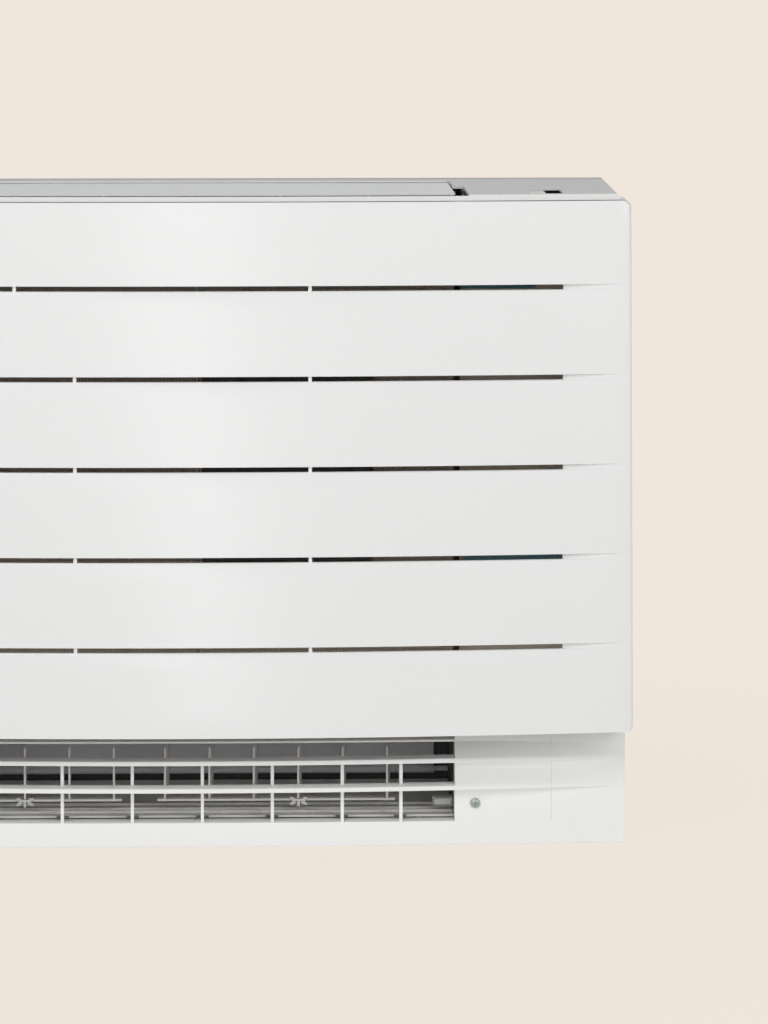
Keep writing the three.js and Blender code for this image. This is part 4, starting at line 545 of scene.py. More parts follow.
# ---------------------------------------------------------------- front panel
@dataclass
class FrontPanel:
    """The bowed white panel with its slats and air slots.

    Attributes:
        taper: How much narrower each half is at the top than at the foot.
        bulge_low: How far the middle of the face stands ahead of its sides at the foot.
        bulge_high: The same at the top.
        lean: How much further back the face lies at the top than at the foot.
        side_round: Radius between the side and the face.
        side_reach: Places of the columns along a side, as shares of its depth.
        flange: Depth of the turned-in edges.
        corner_drop: Height of the cut upper corners.
        foot_pull: How strongly the round lower corners are drawn in.
        slat_rows: Places of the rows on a slat, as shares of its height and of its step.
        slot_edge: Rows of the round edge below a slot: drop in radii, and steps further back.
        slat_step: How much further back a slat's upper edge lies than its lower one.
        slot_roof: How much lower the inner edge of a groove's roof lies than the outer one.
        groove: Depth of the groove past a slot's end, in steps.
        groove_columns: Places of the columns past the slots' ends.
        groove_end: Place where the grooves have run out.
        top_round: Radius of the round edge below a slot.
        rib: Thickness of a rib.
        rib_x: Distance of the two long ribs from the middle.
        top_rib_x: Distance of the short rib from the middle.
    """

    shop: Workshop
    wall: float = 0.0026
    soften: float = 0.0005
    taper: float = 0.0034
    bulge_low: float = 0.028
    bulge_high: float = 0.017
    lean: float = 0.008
    side_round: float = 0.004
    side_reach: tuple[float, ...] = (1.0, 0.6, 0.3, 0.12)
    side_steps: int = 6
    face_steps: int = 56
    flange: float = 0.005
    corner_drop: float = 0.0042
    top_band: float = 0.002
    top_steps: int = 3
    foot_round: float = 0.006
    foot_pull: float = 0.9
    foot_rows: tuple[float, ...] = (0.0, 0.0008, 0.0025, 0.0045)
    slat_rows: tuple[float, ...] = (0.0, 0.2, 0.5, 0.8, 1.0)
    slot_edge: tuple[tuple[float, float], ...] = ((0.5, 0.09), (0.13, 0.32), (0.0, 0.64))
    slot_count: int = 5
    slot_height: float = 0.0048
    slot_half: float = 0.335
    slat_step: float = 0.0025
    slot_roof: float = 0.0005
    groove: float = 2.3
    groove_columns: tuple[float, ...] = (0.346, 0.354, 0.364, 0.374, 0.384)
    groove_end: float = 0.388
    top_round: float = 0.0016
    lowest_slat: float = 0.0775
    slat_height: float = 0.0768
    rib: float = 0.0032
    rib_depth: float = 0.01
    rib_x: float = 0.106
    top_rib_x: float = 0.160
    rib_gap: float = 0.0003
    rib_foot: float = 0.001
    rib_soften: float = 0.0003
    pin_inner: float = 0.3617
    pin_y: float = -0.052
    pin_z: float = 0.114
    pin_radius: float = 0.003
    pin_soften: float = 0.0004

    def __post_init__(self) -> None:
        """Takes the panel's place from the frame."""
        low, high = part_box("front_panel")
        self.bottom, self.top = low[2], high[2]
        self.half = high[0]
        self.rear = high[1]
        self.edge = low[1] + self.bulge_low

    def climb(self, z: float) -> float:
        """Share of the panel's height at z."""
        return (z - self.bottom) / (self.top - self.bottom)

    def half_at(self, z: float) -> float:
        """Half the panel's width, with its cut upper and round lower corners.

        Args:
            z: The height.

        Returns:
            Half the width there.
        """
        half = self.half - self.taper * self.climb(z)
        above = max(0.0, z - (self.top - self.corner_drop))
        below = max(0.0, self.bottom + self.foot_round - z)
        return half - above - below**2 / (2 * self.foot_round) * self.foot_pull

    def face(self, x: float, z: float, recess: float = 0.0) -> float:
        """Y of the panel's face.

        Args:
            x: Place along X.
            z: The height.
            recess: How many steps of a slat the face is set back.

        Returns:
            Y of the face there.
        """
        half = self.half - self.taper * self.climb(z)
        bulge = self.bulge_low + (self.bulge_high - self.bulge_low) * self.climb(z)
        bow = 1.0 - min(1.0, abs(x) / half) ** 2
        past = (abs(x) - self.slot_half) / (self.groove_end - self.slot_half)
        step = self.slat_step * (1.0 - min(1.0, max(0.0, past)))
        return self.edge + self.lean * self.climb(z) - bulge * bow + recess * step

    def slots(self) -> list[float]:
        """Lower edges of the slots."""
        pitch = self.slat_height + self.slot_height
        return [self.bottom + self.lowest_slat + i * pitch for i in range(self.slot_count)]

    def rows(self) -> list[tuple[float, float]]:
        """Rows of the sheet, from the foot up.

        Returns:
            Each row's height, and how many steps the face is set back there.
        """
        rows = [(self.bottom + z, 0.0) for z in self.foot_rows]
        low = self.bottom + self.foot_round
        for z in self.slots():
            turn = z - self.top_round
            rows += [(low + (turn - low) * share, share) for share in self.slat_rows]
            for drop, back in self.slot_edge:
                rows.append((z - self.top_round * drop, 1.0 + back))
            rows.append((z + self.slot_height - self.slot_roof, self.groove))
            low = z + self.slot_height
        for z in Workshop.even(low, self.top - self.corner_drop, self.top_steps):
            rows.append((z, 0.0))
        rows += [(self.top - self.top_band, 0.0), (self.top, 0.0)]
        return rows

    def columns(self) -> list[tuple[float, float]]:
        """Columns of the sheet, from left to right.

        Returns:
            Each column's share across the face, and how far it lies back along the side;
            a value below 0 is the share of the rounding between the side and the face.
        """
        side = [(1.0, reach) for reach in self.side_reach]
        arc = [(1.0, -a / self.side_steps) for a in range(1, self.side_steps)]
        left = [(-s, r) for s, r in side + arc]
        inner = Workshop.even(-self.slot_half, self.slot_half, self.face_steps)
        outer = list(self.groove_columns)
        marks = [-x for x in outer[::-1]] + inner + outer
        face = [(x / self.half, 0.0) for x in marks]
        right = [(-s, r) for s, r in left[::-1]]
        return left + face + right

    def place(self, column: tuple[float, float], row: tuple[float, float]) -> Corner:
        """Place of one corner of the sheet.

        Args:
            column: Its column, as columns gives it.
            row: Its row, as rows gives it.

        Returns:
            The place of the corner.
        """
        share, reach = column
        z, recess = row
        half = self.half_at(z)
        side = math.copysign(1.0, share)
        start = self.face(half - self.side_round, z, recess) + self.side_round
        if reach > 0.0:
            return (side * half, start + (self.rear - start) * reach, z)
        if reach < 0.0:
            angle = -reach * HALF_PI
            x = half - self.side_round * (1 - math.cos(angle))
            return (side * x, start - self.side_round * math.sin(angle), z)
        x = share * self.half
        x = side * min(abs(x), half - self.side_round)
        return (x, self.face(x, z, recess), z)

    def build(self) -> None:
        """Makes the panel with its slots, ribs and turned-in edges."""
        rows, columns = self.rows(), self.columns()
        bm = bmesh.new()
        faces = self.shop.sheet(
            bm, len(columns), len(rows), lambda i, j: self.place(columns[i], rows[j])
        )
        starts = self.slots()
        open_faces = []
        for face in faces:
            middle = face.calc_center_median()
            inside = abs(middle.x) < self.slot_half
            if inside and any(z < middle.z < z + self.slot_height for z in starts):
                open_faces.append(face)
        bmesh.ops.delete(bm, geom=open_faces, context="FACES")
        self.turn_in(bm)
        bmesh.ops.recalc_face_normals(bm, faces=bm.faces[:])
        if sum(f.normal.y * f.calc_area() for f in bm.faces) > 0:
            bmesh.ops.reverse_faces(bm, faces=bm.faces[:])
        self.shop.piece(
            "panel_face",
            bm,
            SATIN_WHITE,
            "panel",
            "white_plastic",
            ["front_panel"],
            soften=self.soften,
            thickness=self.wall,
        )
        self.ribs()
        self.hinges()

    def turn_in(self, bm: bmesh.types.BMesh) -> None:
        """Turns the upper and the lower edge of the sheet inwards.

        Args:
            bm: The bmesh that holds the sheet.
        """
        for level in (self.bottom, self.top):
            edges = [
                e
                for e in bm.edges
                if e.is_boundary and all(abs(v.co.z - level) < TOLERANCE for v in e.verts)
            ]
            new = bmesh.ops.extrude_edge_only(bm, edges=edges)["geom"]
            for vert in (v for v in new if isinstance(v, bmesh.types.BMVert)):
                at_side = abs(vert.co.x) > self.half_at(level) - self.side_round / 2
                if at_side:
                    vert.co.x -= math.copysign(self.flange, vert.co.x)
                vert.co.y = min(self.rear, vert.co.y + (0.0 if at_side else self.flange))

    def ribs(self) -> None:
        """Makes the upright ribs that tie the slats together behind the slots."""
        bm = bmesh.new()
        fourth, fifth = self.slots()[-2:]
        foot, over = self.bottom + self.rib_foot, self.slot_height
        for x, low, high in (
            (-self.rib_x, foot, fourth + over + self.rib_depth),
            (self.rib_x, foot, fifth + over + self.rib_depth),
            (-self.top_rib_x, fifth - self.rib_depth, fifth + 2 * self.rib_depth),
        ):
            # The block is a metre deep at first, which tells its rear corners from the others.
            verts = self.shop.block(bm, (x - self.rib / 2, 0, low), (x + self.rib / 2, 1, high))
            for vert in verts:
                front = self.face(x, vert.co.z) + self.slat_step + self.rib_gap
                vert.co.y = front + (self.rib_depth if vert.co.y > 0.5 else 0.0)
        self.shop.piece(
            "panel_ribs", bm, SATIN_WHITE, "panel", "white_plastic", soften=self.rib_soften
        )

    def hinges(self) -> None:
        """Makes the two pins on which the panel tilts."""
        bm = bmesh.new()
        inner, outer = self.pin_inner, self.half - self.wall
        for side in (-1, 1):
            centre = (side * (inner + outer) / 2, self.pin_y, self.pin_z)
            self.shop.disc(bm, centre, self.pin_radius, outer - inner, "Y")
        self.shop.piece(
            "panel_hinge_pins", bm, SATIN_WHITE, "panel", "white_plastic", soften=self.pin_soften
        )


# ---------------------------------------------------------------- lower front
@dataclass
class LowerFront:
    """The moulding round the lower outlet with its rails, bars and ridges.

    Attributes:
        bulge: How far the middle of the face stands ahead of its ends.
        foot: Width of the cut along the sill's lower front edge.
        wing_foot: The same beside the outlet, where the face goes on above the sill.
        shell_head: Points of the upper front edge: how far back, and how far below the top.
        rail_bulge: How far the middle of the rails stands ahead of the moulding's ends.
        rail_slope: How much higher a rail's underside lies at its rear.
        rail_foot: Points of a rail's lower front edge: how far back, and how far up.
        rail_head: Points of its upper front edge: how far back, and how far down.
        rails: Heights of the two rails' feet.
        sill: Height of the sill's top.
        ridge_height: Height of the slanted ridges that carry the rails on beside the outlet.
        ridge_end: How far before the moulding's end the ridges stop.
        ridge_foot: Points of a ridge's lower front edge: how far back, and how far up.
        ridge_head: Points of its upper front edge: how far back, and how far down.
        clearance: What keeps two faces from lying in one place.
        joint: How far two joined parts reach into each other.
        seam: Distance of the seam beside an end cover from the middle.
        seam_gap: Width of that seam.
        overlap: How far the face above the sill reaches down into it.
        head: Half the section of a screw's head: radius, and depth from its top.
        shank_shift: How far the shank's middle lies behind the screw's.
        shank_short: How much shorter than the screw its shank is.
        cross_long: Half the span of the cross recess.
        cross_thin: Half the width of its arms.
        cross_deep: Its depth.
    """

    shop: Workshop
    half: float = 0.3957
    bulge: float = 0.014
    foot: float = 0.0006
    wing_foot: float = 0.0001
    shell_head: Profile = ((0.0, 0.001), (0.0003, 0.0003), (0.001, 0.0))
    rail_bulge: float = 0.031
    rail_height: float = 0.0044
    rail_depth: float = 0.020
    rail_slope: float = 0.0005
    rail_foot: Profile = ((0.0007, 0.0), (0.0001, 0.0006), (0.0, 0.0016))
    rail_head: Profile = ((0.0, 0.0014), (0.0003, 0.0004), (0.0012, 0.0))
    rails: tuple[float, float] = (0.0527, 0.078)
    sill: float = 0.0225
    wall: float = 0.0026
    outlet_half: float = 0.239
    outlet_top: float = 0.0958
    lip_top: float = 0.098
    lip_round: float = 0.0006
    lip_foot: float = 0.0005
    ridge_height: float = 0.020
    ridge_end: float = 0.005
    ridge_foot: Profile = ((0.0004, 0.0), (0.0, 0.0006))
    ridge_head: Profile = ((0.0, 0.001), (0.0006, 0.0))
    clearance: float = 0.0002
    joint: float = 0.001
    seam: float = 0.328
    seam_gap: float = 0.00012
    overlap: float = 0.0009
    bar_width: float = 0.003
    bar_first: float = -0.1838
    bar_pitch: float = 0.064
    bar_count: int = 6
    bar_last: float = 0.1899
    bar_depth: float = 0.018
    bar_inset: float = 0.002
    bar_soften: float = 0.0005
    head_steps: int = 40
    shank_radius: float = 0.0018
    shank_shift: float = 0.0012
    shank_short: float = 0.0026
    cross_long: float = 0.0024
    cross_thin: float = 0.0007
    cross_deep: float = 0.0024
    head: Profile = (
        (0.0, 0.0),
        (0.0030, 0.0001),
        (0.0037, 0.0004),
        (0.0042, 0.0010),
        (0.0044, 0.0017),
        (0.0047, 0.0018),
        (0.0047, 0.0026),
    )
    sill_steps: int = 64
    rail_steps: int = 48
    side_steps: int = 14

    def __post_init__(self) -> None:
        """Takes the moulding's place from the frame."""
        low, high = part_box("lower_front_grille")
        self.rear = high[1]
        self.top = high[2]
        self.edge = low[1] + self.rail_bulge

    def face(self, x: float) -> float:
        """Y of the moulding's face."""
        return self.edge - self.bulge * (1 - (x / self.half) ** 2)

    def rail_face(self, x: float) -> float:
        """Y of the rails' front."""
        return self.edge - self.rail_bulge * (1 - (x / self.half) ** 2)

    def shell(self, low: float, high: float, foot: float) -> Section:
        """Section of the moulding between two heights, with its edges turned back.

        Args:
            low: The lower height.
            high: The upper height.
            foot: Width of the cut along its lower edge.

        Returns:
            A function that gives the outline at a place along X.
        """

        def section(x: float) -> Outline:
            """Outline of the shell, whose walls lean on its face.

            Args:
                x: Place along X.

            Returns:
                The outline there.
            """
            face, wall = self.face(x), self.wall
            return [
                (self.rear, low),
                (face + foot, low),
                (face, low + foot),
                *((face + back, high - drop) for back, drop in self.shell_head),
                (self.rear, high),
                (self.rear, high - wall),
                (face + wall, high - wall),
                (face + wall, low + wall),
                (self.rear, low + wall),
            ]

        return section

    def ridge(self, level: float) -> Section:
        """Section of the slanted face above a rail, beside the outlet.

        Args:
            level: Height of the rail's foot.

        Returns:
            A function that gives the outline at a place along X.
        """

        def section(x: float) -> Outline:
            """Outline of the ridge, whose front never lies behind the middle of the wall.

            Args:
                x: Place along X.

            Returns:
                The outline there.
            """
            inside = self.face(x) + self.wall / 2
            front = min(self.rail_face(x), inside - self.clearance)
            high = level + self.rail_height
            return [
                (inside, level),
                *((front + back, level + rise) for back, rise in self.ridge_foot),
                *((front + back, high - drop) for back, drop in self.ridge_head),
                (inside, level + self.ridge_height),
            ]

        return section

    def rail(self, level: float) -> Section:
        """Section of a rail across the outlet.

        Args:
            level: Height of the rail's foot.

        Returns:
            A function that gives the outline at a place along X.
        """

        def section(x: float) -> Outline:
            """Outline of the rail, which is flat behind its rounded front.

            Args:
                x: Place along X.

            Returns:
                The outline there.
            """
            front, high = self.rail_face(x), level + self.rail_height
            return [
                *((front + back, level + rise) for back, rise in self.rail_foot),
                *((front + back, high - drop) for back, drop in self.rail_head),
                (front + self.rail_depth, high),
                (front + self.rail_depth, level + self.rail_slope),
            ]

        return section

    def stations(self, side: int, inner: float, outer: float) -> list[float]:
        """Places along X on one side of the unit, from left to right.

        Args:
            side: -1 for the left side, 1 for the right one.
            inner: Distance of the inner end from the middle.
            outer: Distance of the outer end from the middle.

        Returns:
            The places.
        """
        places = self.shop.even(inner, outer, self.side_steps)
        return places if side > 0 else [-x for x in places[::-1]]

    def build(self) -> None:
        """Makes the moulding, its end covers and its screws."""
        bm = bmesh.new()
        places = self.shop.even(-self.half, self.half, self.sill_steps)
        self.shop.swept(bm, self.shell(0.0, self.sill, self.foot), places)
        wings = self.shell(self.sill - self.overlap, self.top, self.wing_foot)
        jamb = self.outlet_half + self.wall
        for side in (-1, 1):
            places = self.stations(side, self.outlet_half, self.seam)
            self.shop.swept(bm, wings, places)
            for level in self.rails:
                self.shop.swept(bm, self.ridge(level), places)
            x0, x1 = sorted((side * self.outlet_half, side * jamb))
            low = (x0, self.face(jamb) + self.clearance, self.sill - self.joint)
            self.shop.block(bm, low, (x1, self.rear, self.top - self.clearance))
        span = self.outlet_half + self.joint
        places = self.shop.even(-span, span, self.rail_steps)
        self.shop.swept(bm, self.lip, places)
        for level in self.rails:
            self.shop.swept(bm, self.rail(level), places)
        self.bars(bm)
        self.shop.piece(
            "outlet_moulding",
            bm,
            BASE_WHITE,
            "casing",
            "white_plastic",
            ["lower_front_grille"],
        )
        self.end_covers()
        self.screws()

    def lip(self, x: float) -> Outline:
        """Section of the strip above the outlet.

        Args:
            x: Place along X.

        Returns:
            The outline there.
        """
        face = self.face(x)
        return [
            (face, self.outlet_top + self.lip_foot),
            (face, self.lip_top - self.lip_round),
            (face + self.lip_round, self.lip_top),
            (self.rear, self.lip_top),
            (self.rear, self.outlet_top),
            (face + self.lip_round, self.outlet_top),
        ]

    def bar_places(self) -> list[float]:
        """Places of the upright bars along X."""
        even = [self.bar_first + i * self.bar_pitch for i in range(self.bar_count)]
        return even + [self.bar_last]

    def bars(self, bm: bmesh.types.BMesh) -> None:
        """Adds the upright bars behind the rails.

        Args:
            bm: Where they go.
        """
        rear = self.rear - self.bar_inset
        for x in self.bar_places():
            low = (x - self.bar_width / 2, rear - self.bar_depth, self.sill - self.joint)
            high = (x + self.bar_width / 2, rear, self.rails[1] + self.joint)
            self.shop.block(bm, low, high, self.bar_soften)

    def end_covers(self) -> None:
        """Makes the cover at each end of the moulding."""
        cover = self.shell(self.sill - self.overlap, self.top, self.wing_foot)
        for side, word in ((-1, "left"), (1, "right")):
            bm = bmesh.new()
            places = self.stations(side, self.seam + self.seam_gap, self.half)
            self.shop.swept(bm, cover, places)
            places = self.stations(side, self.seam + self.seam_gap, self.half - self.ridge_end)
            for level in self.rails:
                self.shop.swept(bm, self.ridge(level), places)
            self.shop.piece(
                f"end_cover_{word}_moulding",
                bm,
                BASE_WHITE,
                "casing",
                "white_plastic",
                [f"end_cover_{word}"],
            )

    def screws(self) -> None:
        """Makes the two cross-head screws of the moulding."""
        for word in ("left", "right"):
            low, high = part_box(f"base_screw_{word}")
            x, z = (low[0] + high[0]) / 2, (low[2] + high[2]) / 2
            bm = bmesh.new()
            verts = [bm.verts.new((r, low[1] + d, 0.0)) for r, d in self.head]
            edges = [bm.edges.new(pair) for pair in zip(verts, verts[1:])]
            bmesh.ops.spin(
                bm,
                geom=verts + edges,
                cent=(0, 0, 0),
                axis=(0, 1, 0),
                angle=2 * math.pi,
                steps=self.head_steps,
                use_merge=True,
            )
            bmesh.ops.remove_doubles(bm, verts=bm.verts[:], dist=TOLERANCE)
            rim = [e for e in bm.edges if e.is_boundary]
            bmesh.ops.holes_fill(bm, edges=rim, sides=0)
            bmesh.ops.recalc_face_normals(bm, faces=bm.faces[:])
            bmesh.ops.translate(bm, verts=bm.verts[:], vec=(x, 0, z))
            shank = (x, (low[1] + high[1]) / 2 + self.shank_shift, z)
            length = high[1] - low[1] - self.shank_short
            self.shop.disc(bm, shank, self.shank_radius, length, "X")
            head = self.shop.piece(
                f"zinc_screw_{word}", bm, ZINC, "casing", "screw_zinc", [f"base_screw_{word}"]
            )
            self.recess(head, x, low[1], z)

    def recess(self, head: bpy.types.Object, x: float, front: float, z: float) -> None:
        """Sinks a cross into a screw's head.

        Args:
            head: The screw.
            x: Its place along X.
            front: Y of the top of its head.
            z: Its height.
        """
        bm = bmesh.new()
        sizes = (self.cross_long, self.cross_thin)
        for wide, tall in (sizes, sizes[::-1]):
            low = (x - wide, front - self.joint, z - tall)
            self.shop.block(bm, low, (x + wide, front + self.cross_deep, z + tall))
        union = bpy.data.meshes.new("cross")
        bm.to_mesh(union)
        bm.free()
        cutter = bpy.data.objects.new("cross", union)
        bpy.context.scene.collection.objects.link(cutter)
        sink = head.modifiers.new("cross_recess", "BOOLEAN")
        sink.operation = "DIFFERENCE"
        sink.object = cutter
        sink.use_self = True
        bpy.context.view_layer.update()
        baked = bpy.data.meshes.new_from_object(
            head.evaluated_get(bpy.context.evaluated_depsgraph_get())
        )
        head.modifiers.clear()
        head.data = baked
        bpy.data.objects.remove(cutter)


# ---------------------------------------------------------------- small mouldings
@dataclass
class SmallMouldings:
    """Blocks of painted shade at the bars' feet, petals of the grips, the duct's end frame, the
    hinge cover.

    Attributes:
        foot_shade: Width, depth and height of a dark block of painted shade at a bar's foot.
        grips: Side and place along X of each grip.
        petal: Radii of a petal along X, Y and Z before it is tilted.
        petal_place: How far a petal lies beside its grip's middle, and the grip's Y and Z.
        petal_lift: How far it lies above or below the grip's middle.
        petal_tilt: Its tilt in degrees.
        petal_sides: Number of faces round a petal, and from pole to pole.
        frame_rim: Width of the slope from the block's front edge into its groove.
        frame_groove: Width of the slope out of the groove, and the groove's depth.
        frame_pad: How far that slope comes forward again, as a share of the depth.
    """

    shop: Workshop
    front: LowerFront
    foot_shade: Corner = (0.0115, 0.0012, 0.0024)
    foot_shade_z: float = 0.0227
    foot_shade_gap: float = 0.0001
    foot_shade_soften: float = 0.0003
    grips: tuple[tuple[str, float], ...] = (("left", -0.1549), ("right", 0.0968))
    petal: Corner = (0.0034, 0.0014, 0.0017)
    petal_place: Corner = (0.0052, -0.0242, 0.0355)
    petal_lift: float = 0.0019
    petal_tilt: float = -24.0
    petal_sides: tuple[int, int] = (16, 10)
    frame_low: Corner = (0.2205, -0.0262, 0.0305)
    frame_high: Corner = (0.2385, -0.0120, 0.0384)
    frame_rim: float = 0.0014
    frame_groove: tuple[float, float] = (0.0008, 0.003)
    frame_pad: float = 0.9
    frame_soften: float = 0.0002
    cover_low: Corner = (-0.2372, 0.0767, 0.5989)
    cover_high: Corner = (0.2372, 0.0812, 0.6)
    cover_soften: float = 0.0002

    def build(self) -> None:
        """Makes all the small mouldings."""
        self.foot_shades()
        self.petals()
        self.end_frame()
        bm = bmesh.new()
        self.shop.block(bm, self.cover_low, self.cover_high, self.cover_soften)
        self.shop.piece("hinge_cover", bm, BASE_WHITE, "casing", "white_plastic")

    def foot_shades(self) -> None:
        """Makes the dark block of painted shade at the foot of each upright bar."""
        bm = bmesh.new()
        wide, deep, tall = self.foot_shade
        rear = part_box("lower_duct_floor")[0][1] - self.foot_shade_gap
        for x in self.front.bar_places():
            low = (x - wide / 2, rear - deep, self.foot_shade_z)
            high = (x + wide / 2, rear, self.foot_shade_z + tall)
            self.shop.block(bm, low, high, self.foot_shade_soften)
        # Dark blocks where the bars meet the duct floor: painted shade.
        self.shop.piece("bar_foot_painted_shade", bm, DARK_PLASTIC, "casing", "dark_plastic")

    def petals(self) -> None:
        """Makes the four petals round the grip of each lower tie bar."""
        aside, y, z = self.petal_place
        around, along = self.petal_sides
        for word, x in self.grips:
            bm = bmesh.new()
            for side, lift in ((-1, -1), (-1, 1), (1, -1), (1, 1)):
                tilt = Matrix.Rotation(math.radians(self.petal_tilt * side * lift), 4, "Y")
                place = Matrix.Translation((x + side * aside, y, z + lift * self.petal_lift))
                size = Matrix.Diagonal((*self.petal, 1.0))
                bmesh.ops.create_uvsphere(
                    bm,
                    u_segments=around,
                    v_segments=along,
                    radius=1.0,
                    matrix=place @ tilt @ size,
                )
            self.shop.piece(
                f"grip_petals_{word}", bm, VANE_WHITE, f"lower_bar_{word}", "top_plastic"
            )

    def end_frame(self) -> None:
        """Makes the framed block at the right end of the lower duct."""
        bm = bmesh.new()
        self.shop.block(bm, self.frame_low, self.frame_high)
        face = min(bm.faces, key=lambda f: f.calc_center_median().y)
        wide, deep = self.frame_groove
        for inset, push in ((self.frame_rim, deep), (wide, -deep * self.frame_pad)):
            bmesh.ops.inset_region(bm, faces=[face], thickness=inset, depth=0.0)
            bmesh.ops.translate(bm, verts=face.verts[:], vec=(0.0, push, 0.0))
        self.shop.piece(
            "duct_end_frame", bm, CASING_WHITE, "casing", "top_plastic", soften=self.frame_soften
        )


# ---------------------------------------------------------------- the rest of the unit
class Finishes:
    """Which finish each node of the frame gets, and how wide its edges are rounded."""

    vane_soften: float = 0.0003
    looks: dict[str, tuple[Finish, float]] = {
        "front_casing": (CASING_WHITE, 0.0),
        "rear_chassis": (CHASSIS_GREY, 0.0),
        "top_flap": (FLAP_GREY, 0.0),
        "fan_housing": (HOUSING_DARK, 0.0),
        "air_guide": (DUCT_GREY, 0.0),
        "fan_impeller": (FAN_PLASTIC, 0.0),
        "fan_shaft": (BRIGHT_STEEL, 0.0003),
        "fan_nut": (BRIGHT_STEEL, 0.0004),
        "fan_motor": (MOTOR_PAINT, 0.0),
        "fin_coil": (FIN_METAL, 0.0),
        "tube_plate_left": (COPPER, 0.0),
        "tube_plate_right": (COPPER, 0.0),
        "drain_pan": (DARK_PLASTIC, 0.0005),
        "gas_pipe": (COPPER, 0.0),
        "liquid_pipe": (COPPER, 0.0),
        "air_filter_left": (FILTER_MESH, 0.0),
        "air_filter_right": (FILTER_MESH, 0.0),
        "deodorising_cassette": (CASSETTE_BLACK, 0.0),
        "electronics_box": (GALVANISED, 0.0),
        "electronics_cover": (GALVANISED, 0.0004),
        "cable_cover": (BLUE_GREEN, 0.0006),
        "terminal_cover": (BLUE_GREEN, 0.0006),
        "control_board": (BOARD_GREEN, 0.0),
        "terminal_block": (DARK_PLASTIC, 0.0004),
        "lower_duct_floor": (FLOOR_BEIGE, 0.0),
        "lower_vane_carrier": (DUCT_GREY, 0.0004),
        "lower_tie_bar_left": (VANE_WHITE, 0.0002),
        "lower_tie_bar_right": (VANE_WHITE, 0.0002),
        "lower_damper": (DAMPER_GREY, 0.0004),
        "damper_motor": (MOTOR_PAINT, 0.0005),
        "flap_motor": (MOTOR_PAINT, 0.0005),
        "upper_vane_carrier": (HOUSING_DARK, 0.0004),
        "upper_tie_bar_left": (VANE_WHITE, 0.0002),
        "upper_tie_bar_right": (VANE_WHITE, 0.0002),
        "display_window": (BLACK_WINDOW, 0.0003),
        "on_off_button": (BASE_WHITE, 0.0004),
    }

    @classmethod
    def apply(cls, shop: Workshop) -> None:
        """Dresses every node that still shows.

        Args:
            shop: The workshop.
        """
        for node, (finish, soften) in cls.looks.items():
            shop.dress(node, finish, soften)
        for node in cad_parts:
            if "vane_" in node and node.rsplit("_", 1)[-1].isdigit():
                shop.dress(node, VANE_WHITE, cls.vane_soften)


# ---------------------------------------------------------------- studio
@dataclass(frozen=True)
class Lamp:
    """One soft lamp: its place, the size of its face, its power in watts, its aim and its roll.

    Roll is in degrees about the line to the aim.
    """

    name: str
    place: Corner
    size: tuple[float, float]
    power: float
    aim: Corner = (0.0, 0.0, 0.35)
    roll: float = 0.0


LAMPS = (
    Lamp("key_left", (-1.2, -2.8, 2.6), (1.8, 1.4), 39.0),
    Lamp("strip", (-0.05, -5.6, 0.75), (0.45, 1.7), 11.0, (-0.05, 0.0, 0.6), 12.0),
    Lamp("fill_right", (1.9, -2.8, 1.5), (1.4, 1.4), 15.0),
    Lamp("behind", (0.3, 2.6, 1.6), (1.8, 1.4), 6.0),
)


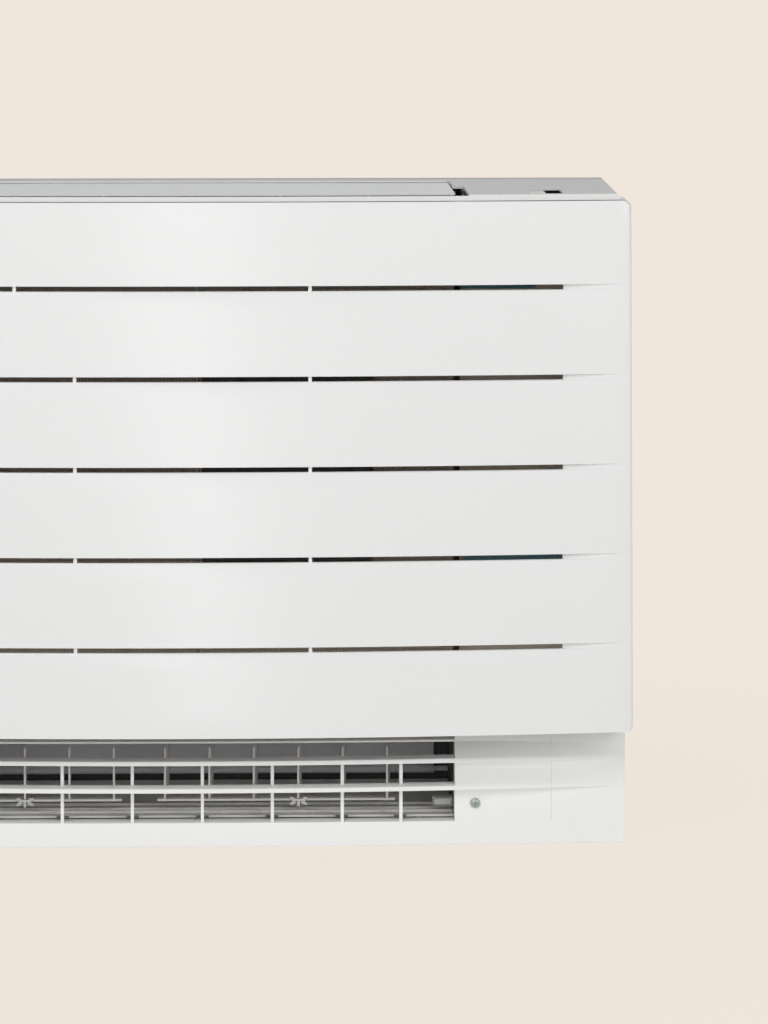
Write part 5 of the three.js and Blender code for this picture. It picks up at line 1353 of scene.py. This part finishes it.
@dataclass
class Studio:
    """Floor, lights and camera.

    Attributes:
        pitch_down: How far the camera looks down, in degrees.
        yaw_right: How far it looks to the right, in degrees.
        lens: Its focal length in millimetres.
        sensor: Longer side of its sensor in millimetres.
        shift: How far the picture is shifted, in longer sides of the picture.
        backdrop: The plain tone that the view sees round the unit.
        contact: Share of the true shading in the floor's tone close to the unit.
        contact_reach: Distances from the middle between which that share fades out.
        bounce: Strength of the floor's light on the unit.
        horizon: Strength of the sky's light from the horizon.
        zenith: The same from above.
        ahead: How many times stronger it is from the front.
        behind: The same from the back.
        left: The same from the left.
        right: The same from the right.
    """

    camera_place: Corner = (0.0, -5.141, 0.984)
    pitch_down: float = 5.489
    yaw_right: float = 1.437
    lens: float = 197.93
    sensor: float = 36.0
    view_depth: float = 60.0
    shift: tuple[float, float] = (0.05, -0.2)
    backdrop: Colour = (0.871, 0.791, 0.716)
    floor_radius: float = 14.0
    floor_sides: int = 96
    floor_roughness: float = 0.9
    contact: float = 0.05
    contact_reach: tuple[float, float] = (0.4, 1.3)
    bounce: float = 0.78
    bounce_tint: Colour = (1.0, 0.99, 0.975)
    sky_tint: Colour = (0.985, 0.99, 1.0)
    horizon: float = 0.66
    zenith: float = 0.2
    ahead: float = 1.15
    behind: float = 0.7
    left: float = 1.12
    right: float = 0.9

    def camera(self) -> None:
        """Puts the camera where the photograph was taken from."""
        data = bpy.data.cameras.new("camera")
        data.lens = self.lens
        data.sensor_width = self.sensor
        data.shift_x, data.shift_y = self.shift
        data.clip_end = self.view_depth
        made = bpy.data.objects.new("camera", data)
        made.location = self.camera_place
        made.rotation_euler = (
            math.radians(90.0 - self.pitch_down),
            0.0,
            math.radians(-self.yaw_right),
        )
        bpy.context.scene.collection.objects.link(made)
        bpy.context.scene.camera = made

    def floor(self) -> None:
        """Lays the plain pale floor."""
        bm = bmesh.new()
        bmesh.ops.create_circle(
            bm, cap_ends=True, segments=self.floor_sides, radius=self.floor_radius
        )
        mesh = bpy.data.meshes.new("studio_floor")
        bm.to_mesh(mesh)
        bm.free()
        made = bpy.data.objects.new("studio_floor", mesh)
        bpy.context.scene.collection.objects.link(made)
        material = bpy.data.materials.new("studio_floor")
        tree = NodeTree(material)
        tone = (*self.backdrop, 1.0)
        shader = tree.nodes["Principled BSDF"]
        dull = {"Roughness": self.floor_roughness, "Specular IOR Level": 0.0}
        tree.feed(shader, {"Base Color": tone, **dull})
        glow = tree.add("Emission", {"Color": tone})
        near = tree.add(
            "MixShader",
            {"Fac": self._nearness(tree), 1: glow.outputs["Emission"], 2: shader.outputs["BSDF"]},
        )
        tint = (*self.bounce_tint, 1.0)
        bounce = tree.add("Emission", {"Color": tint, "Strength": self.bounce})
        self._split(tree, bounce, near, tree.nodes["Material Output"])
        made.data.materials.append(material)

    def _nearness(self, tree: NodeTree) -> Socket:
        """Adds a value that fades from the contact share by the unit to none around it.

        Args:
            tree: Nodes of the floor's material.

        Returns:
            A socket with the value.
        """
        place = tree.add("TexCoord").outputs["Object"]
        far = tree.add("VectorMath", {0: place}, operation="LENGTH").outputs["Value"]
        return tree.ramp(far, self.contact_reach, (self.contact, 0.0), "SMOOTHSTEP")

    @staticmethod
    def _split(
        tree: NodeTree, light: bpy.types.Node, seen: bpy.types.Node, out: bpy.types.Node
    ) -> None:
        """Joins what lights the unit and what the view sees to an output.

        Args:
            tree: Nodes of the floor or the world.
            light: Node that lights the unit.
            seen: Node that the view sees.
            out: Output node of the tree.
        """
        camera_ray = tree.add("LightPath").outputs["Is Camera Ray"]
        both = {"Fac": camera_ray, 1: light.outputs[0], 2: seen.outputs[0]}
        tree.feed(out, {"Surface": tree.add("MixShader", both).outputs["Shader"]})

    def world(self) -> None:
        """Surrounds the unit with soft light, and the view with the photograph's plain tone."""
        world = bpy.data.worlds.new("studio")
        bpy.context.scene.world = world
        tree = NodeTree(world)
        seen = tree.nodes["Background"]
        tree.feed(seen, {"Color": (*self.backdrop, 1.0)})
        way = tree.add("SeparateXYZ", {"Vector": tree.add("TexCoord").outputs["Generated"]})
        sky = tree.ramp(way.outputs["Z"], (0.0, 1.0), (self.horizon, self.zenith))
        for axis, ends in (("Y", (self.ahead, self.behind)), ("X", (self.left, self.right))):
            share = tree.ramp(way.outputs[axis], (-1.0, 1.0), ends)
            sky = tree.add("Math", {0: sky, 1: share}, operation="MULTIPLY").outputs["Value"]
        light = tree.add("Background", {"Color": (*self.sky_tint, 1.0), "Strength": sky})
        self._split(tree, light, seen, tree.nodes["World Output"])

    @staticmethod
    def hang(lamp: Lamp) -> None:
        """Hangs one lamp, which the view doesn't see.

        Args:
            lamp: The lamp.
        """
        data = bpy.data.lights.new(lamp.name, "AREA")
        data.shape = "RECTANGLE"
        data.size, data.size_y = lamp.size
        data.energy = lamp.power
        made = bpy.data.objects.new(lamp.name, data)
        made.location = lamp.place
        made.visible_camera = False
        turn = (Vector(lamp.aim) - Vector(lamp.place)).to_track_quat("-Z", "Y").to_matrix()
        roll = Matrix.Rotation(math.radians(lamp.roll), 3, "Z")
        made.rotation_euler = (turn @ roll).to_euler()
        bpy.context.scene.collection.objects.link(made)

    def build(self) -> None:
        """Sets up the whole studio."""
        bpy.context.scene.view_settings.view_transform = "Standard"
        self.camera()
        self.floor()
        self.world()
        for lamp in LAMPS:
            self.hang(lamp)


def main() -> None:
    """Builds the studio and every sub-assembly."""
    logging.basicConfig(level=logging.INFO, format="%(name)s: %(message)s")
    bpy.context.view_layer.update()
    shop = Workshop()
    Studio().build()
    FrontPanel(shop).build()
    front = LowerFront(shop)
    front.build()
    SmallMouldings(shop, front).build()
    Finishes.apply(shop)
    LOG.info("%d pieces made, %d nodes kept", len(shop.made), len(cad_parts))


if __name__ == "__main__":
    main()
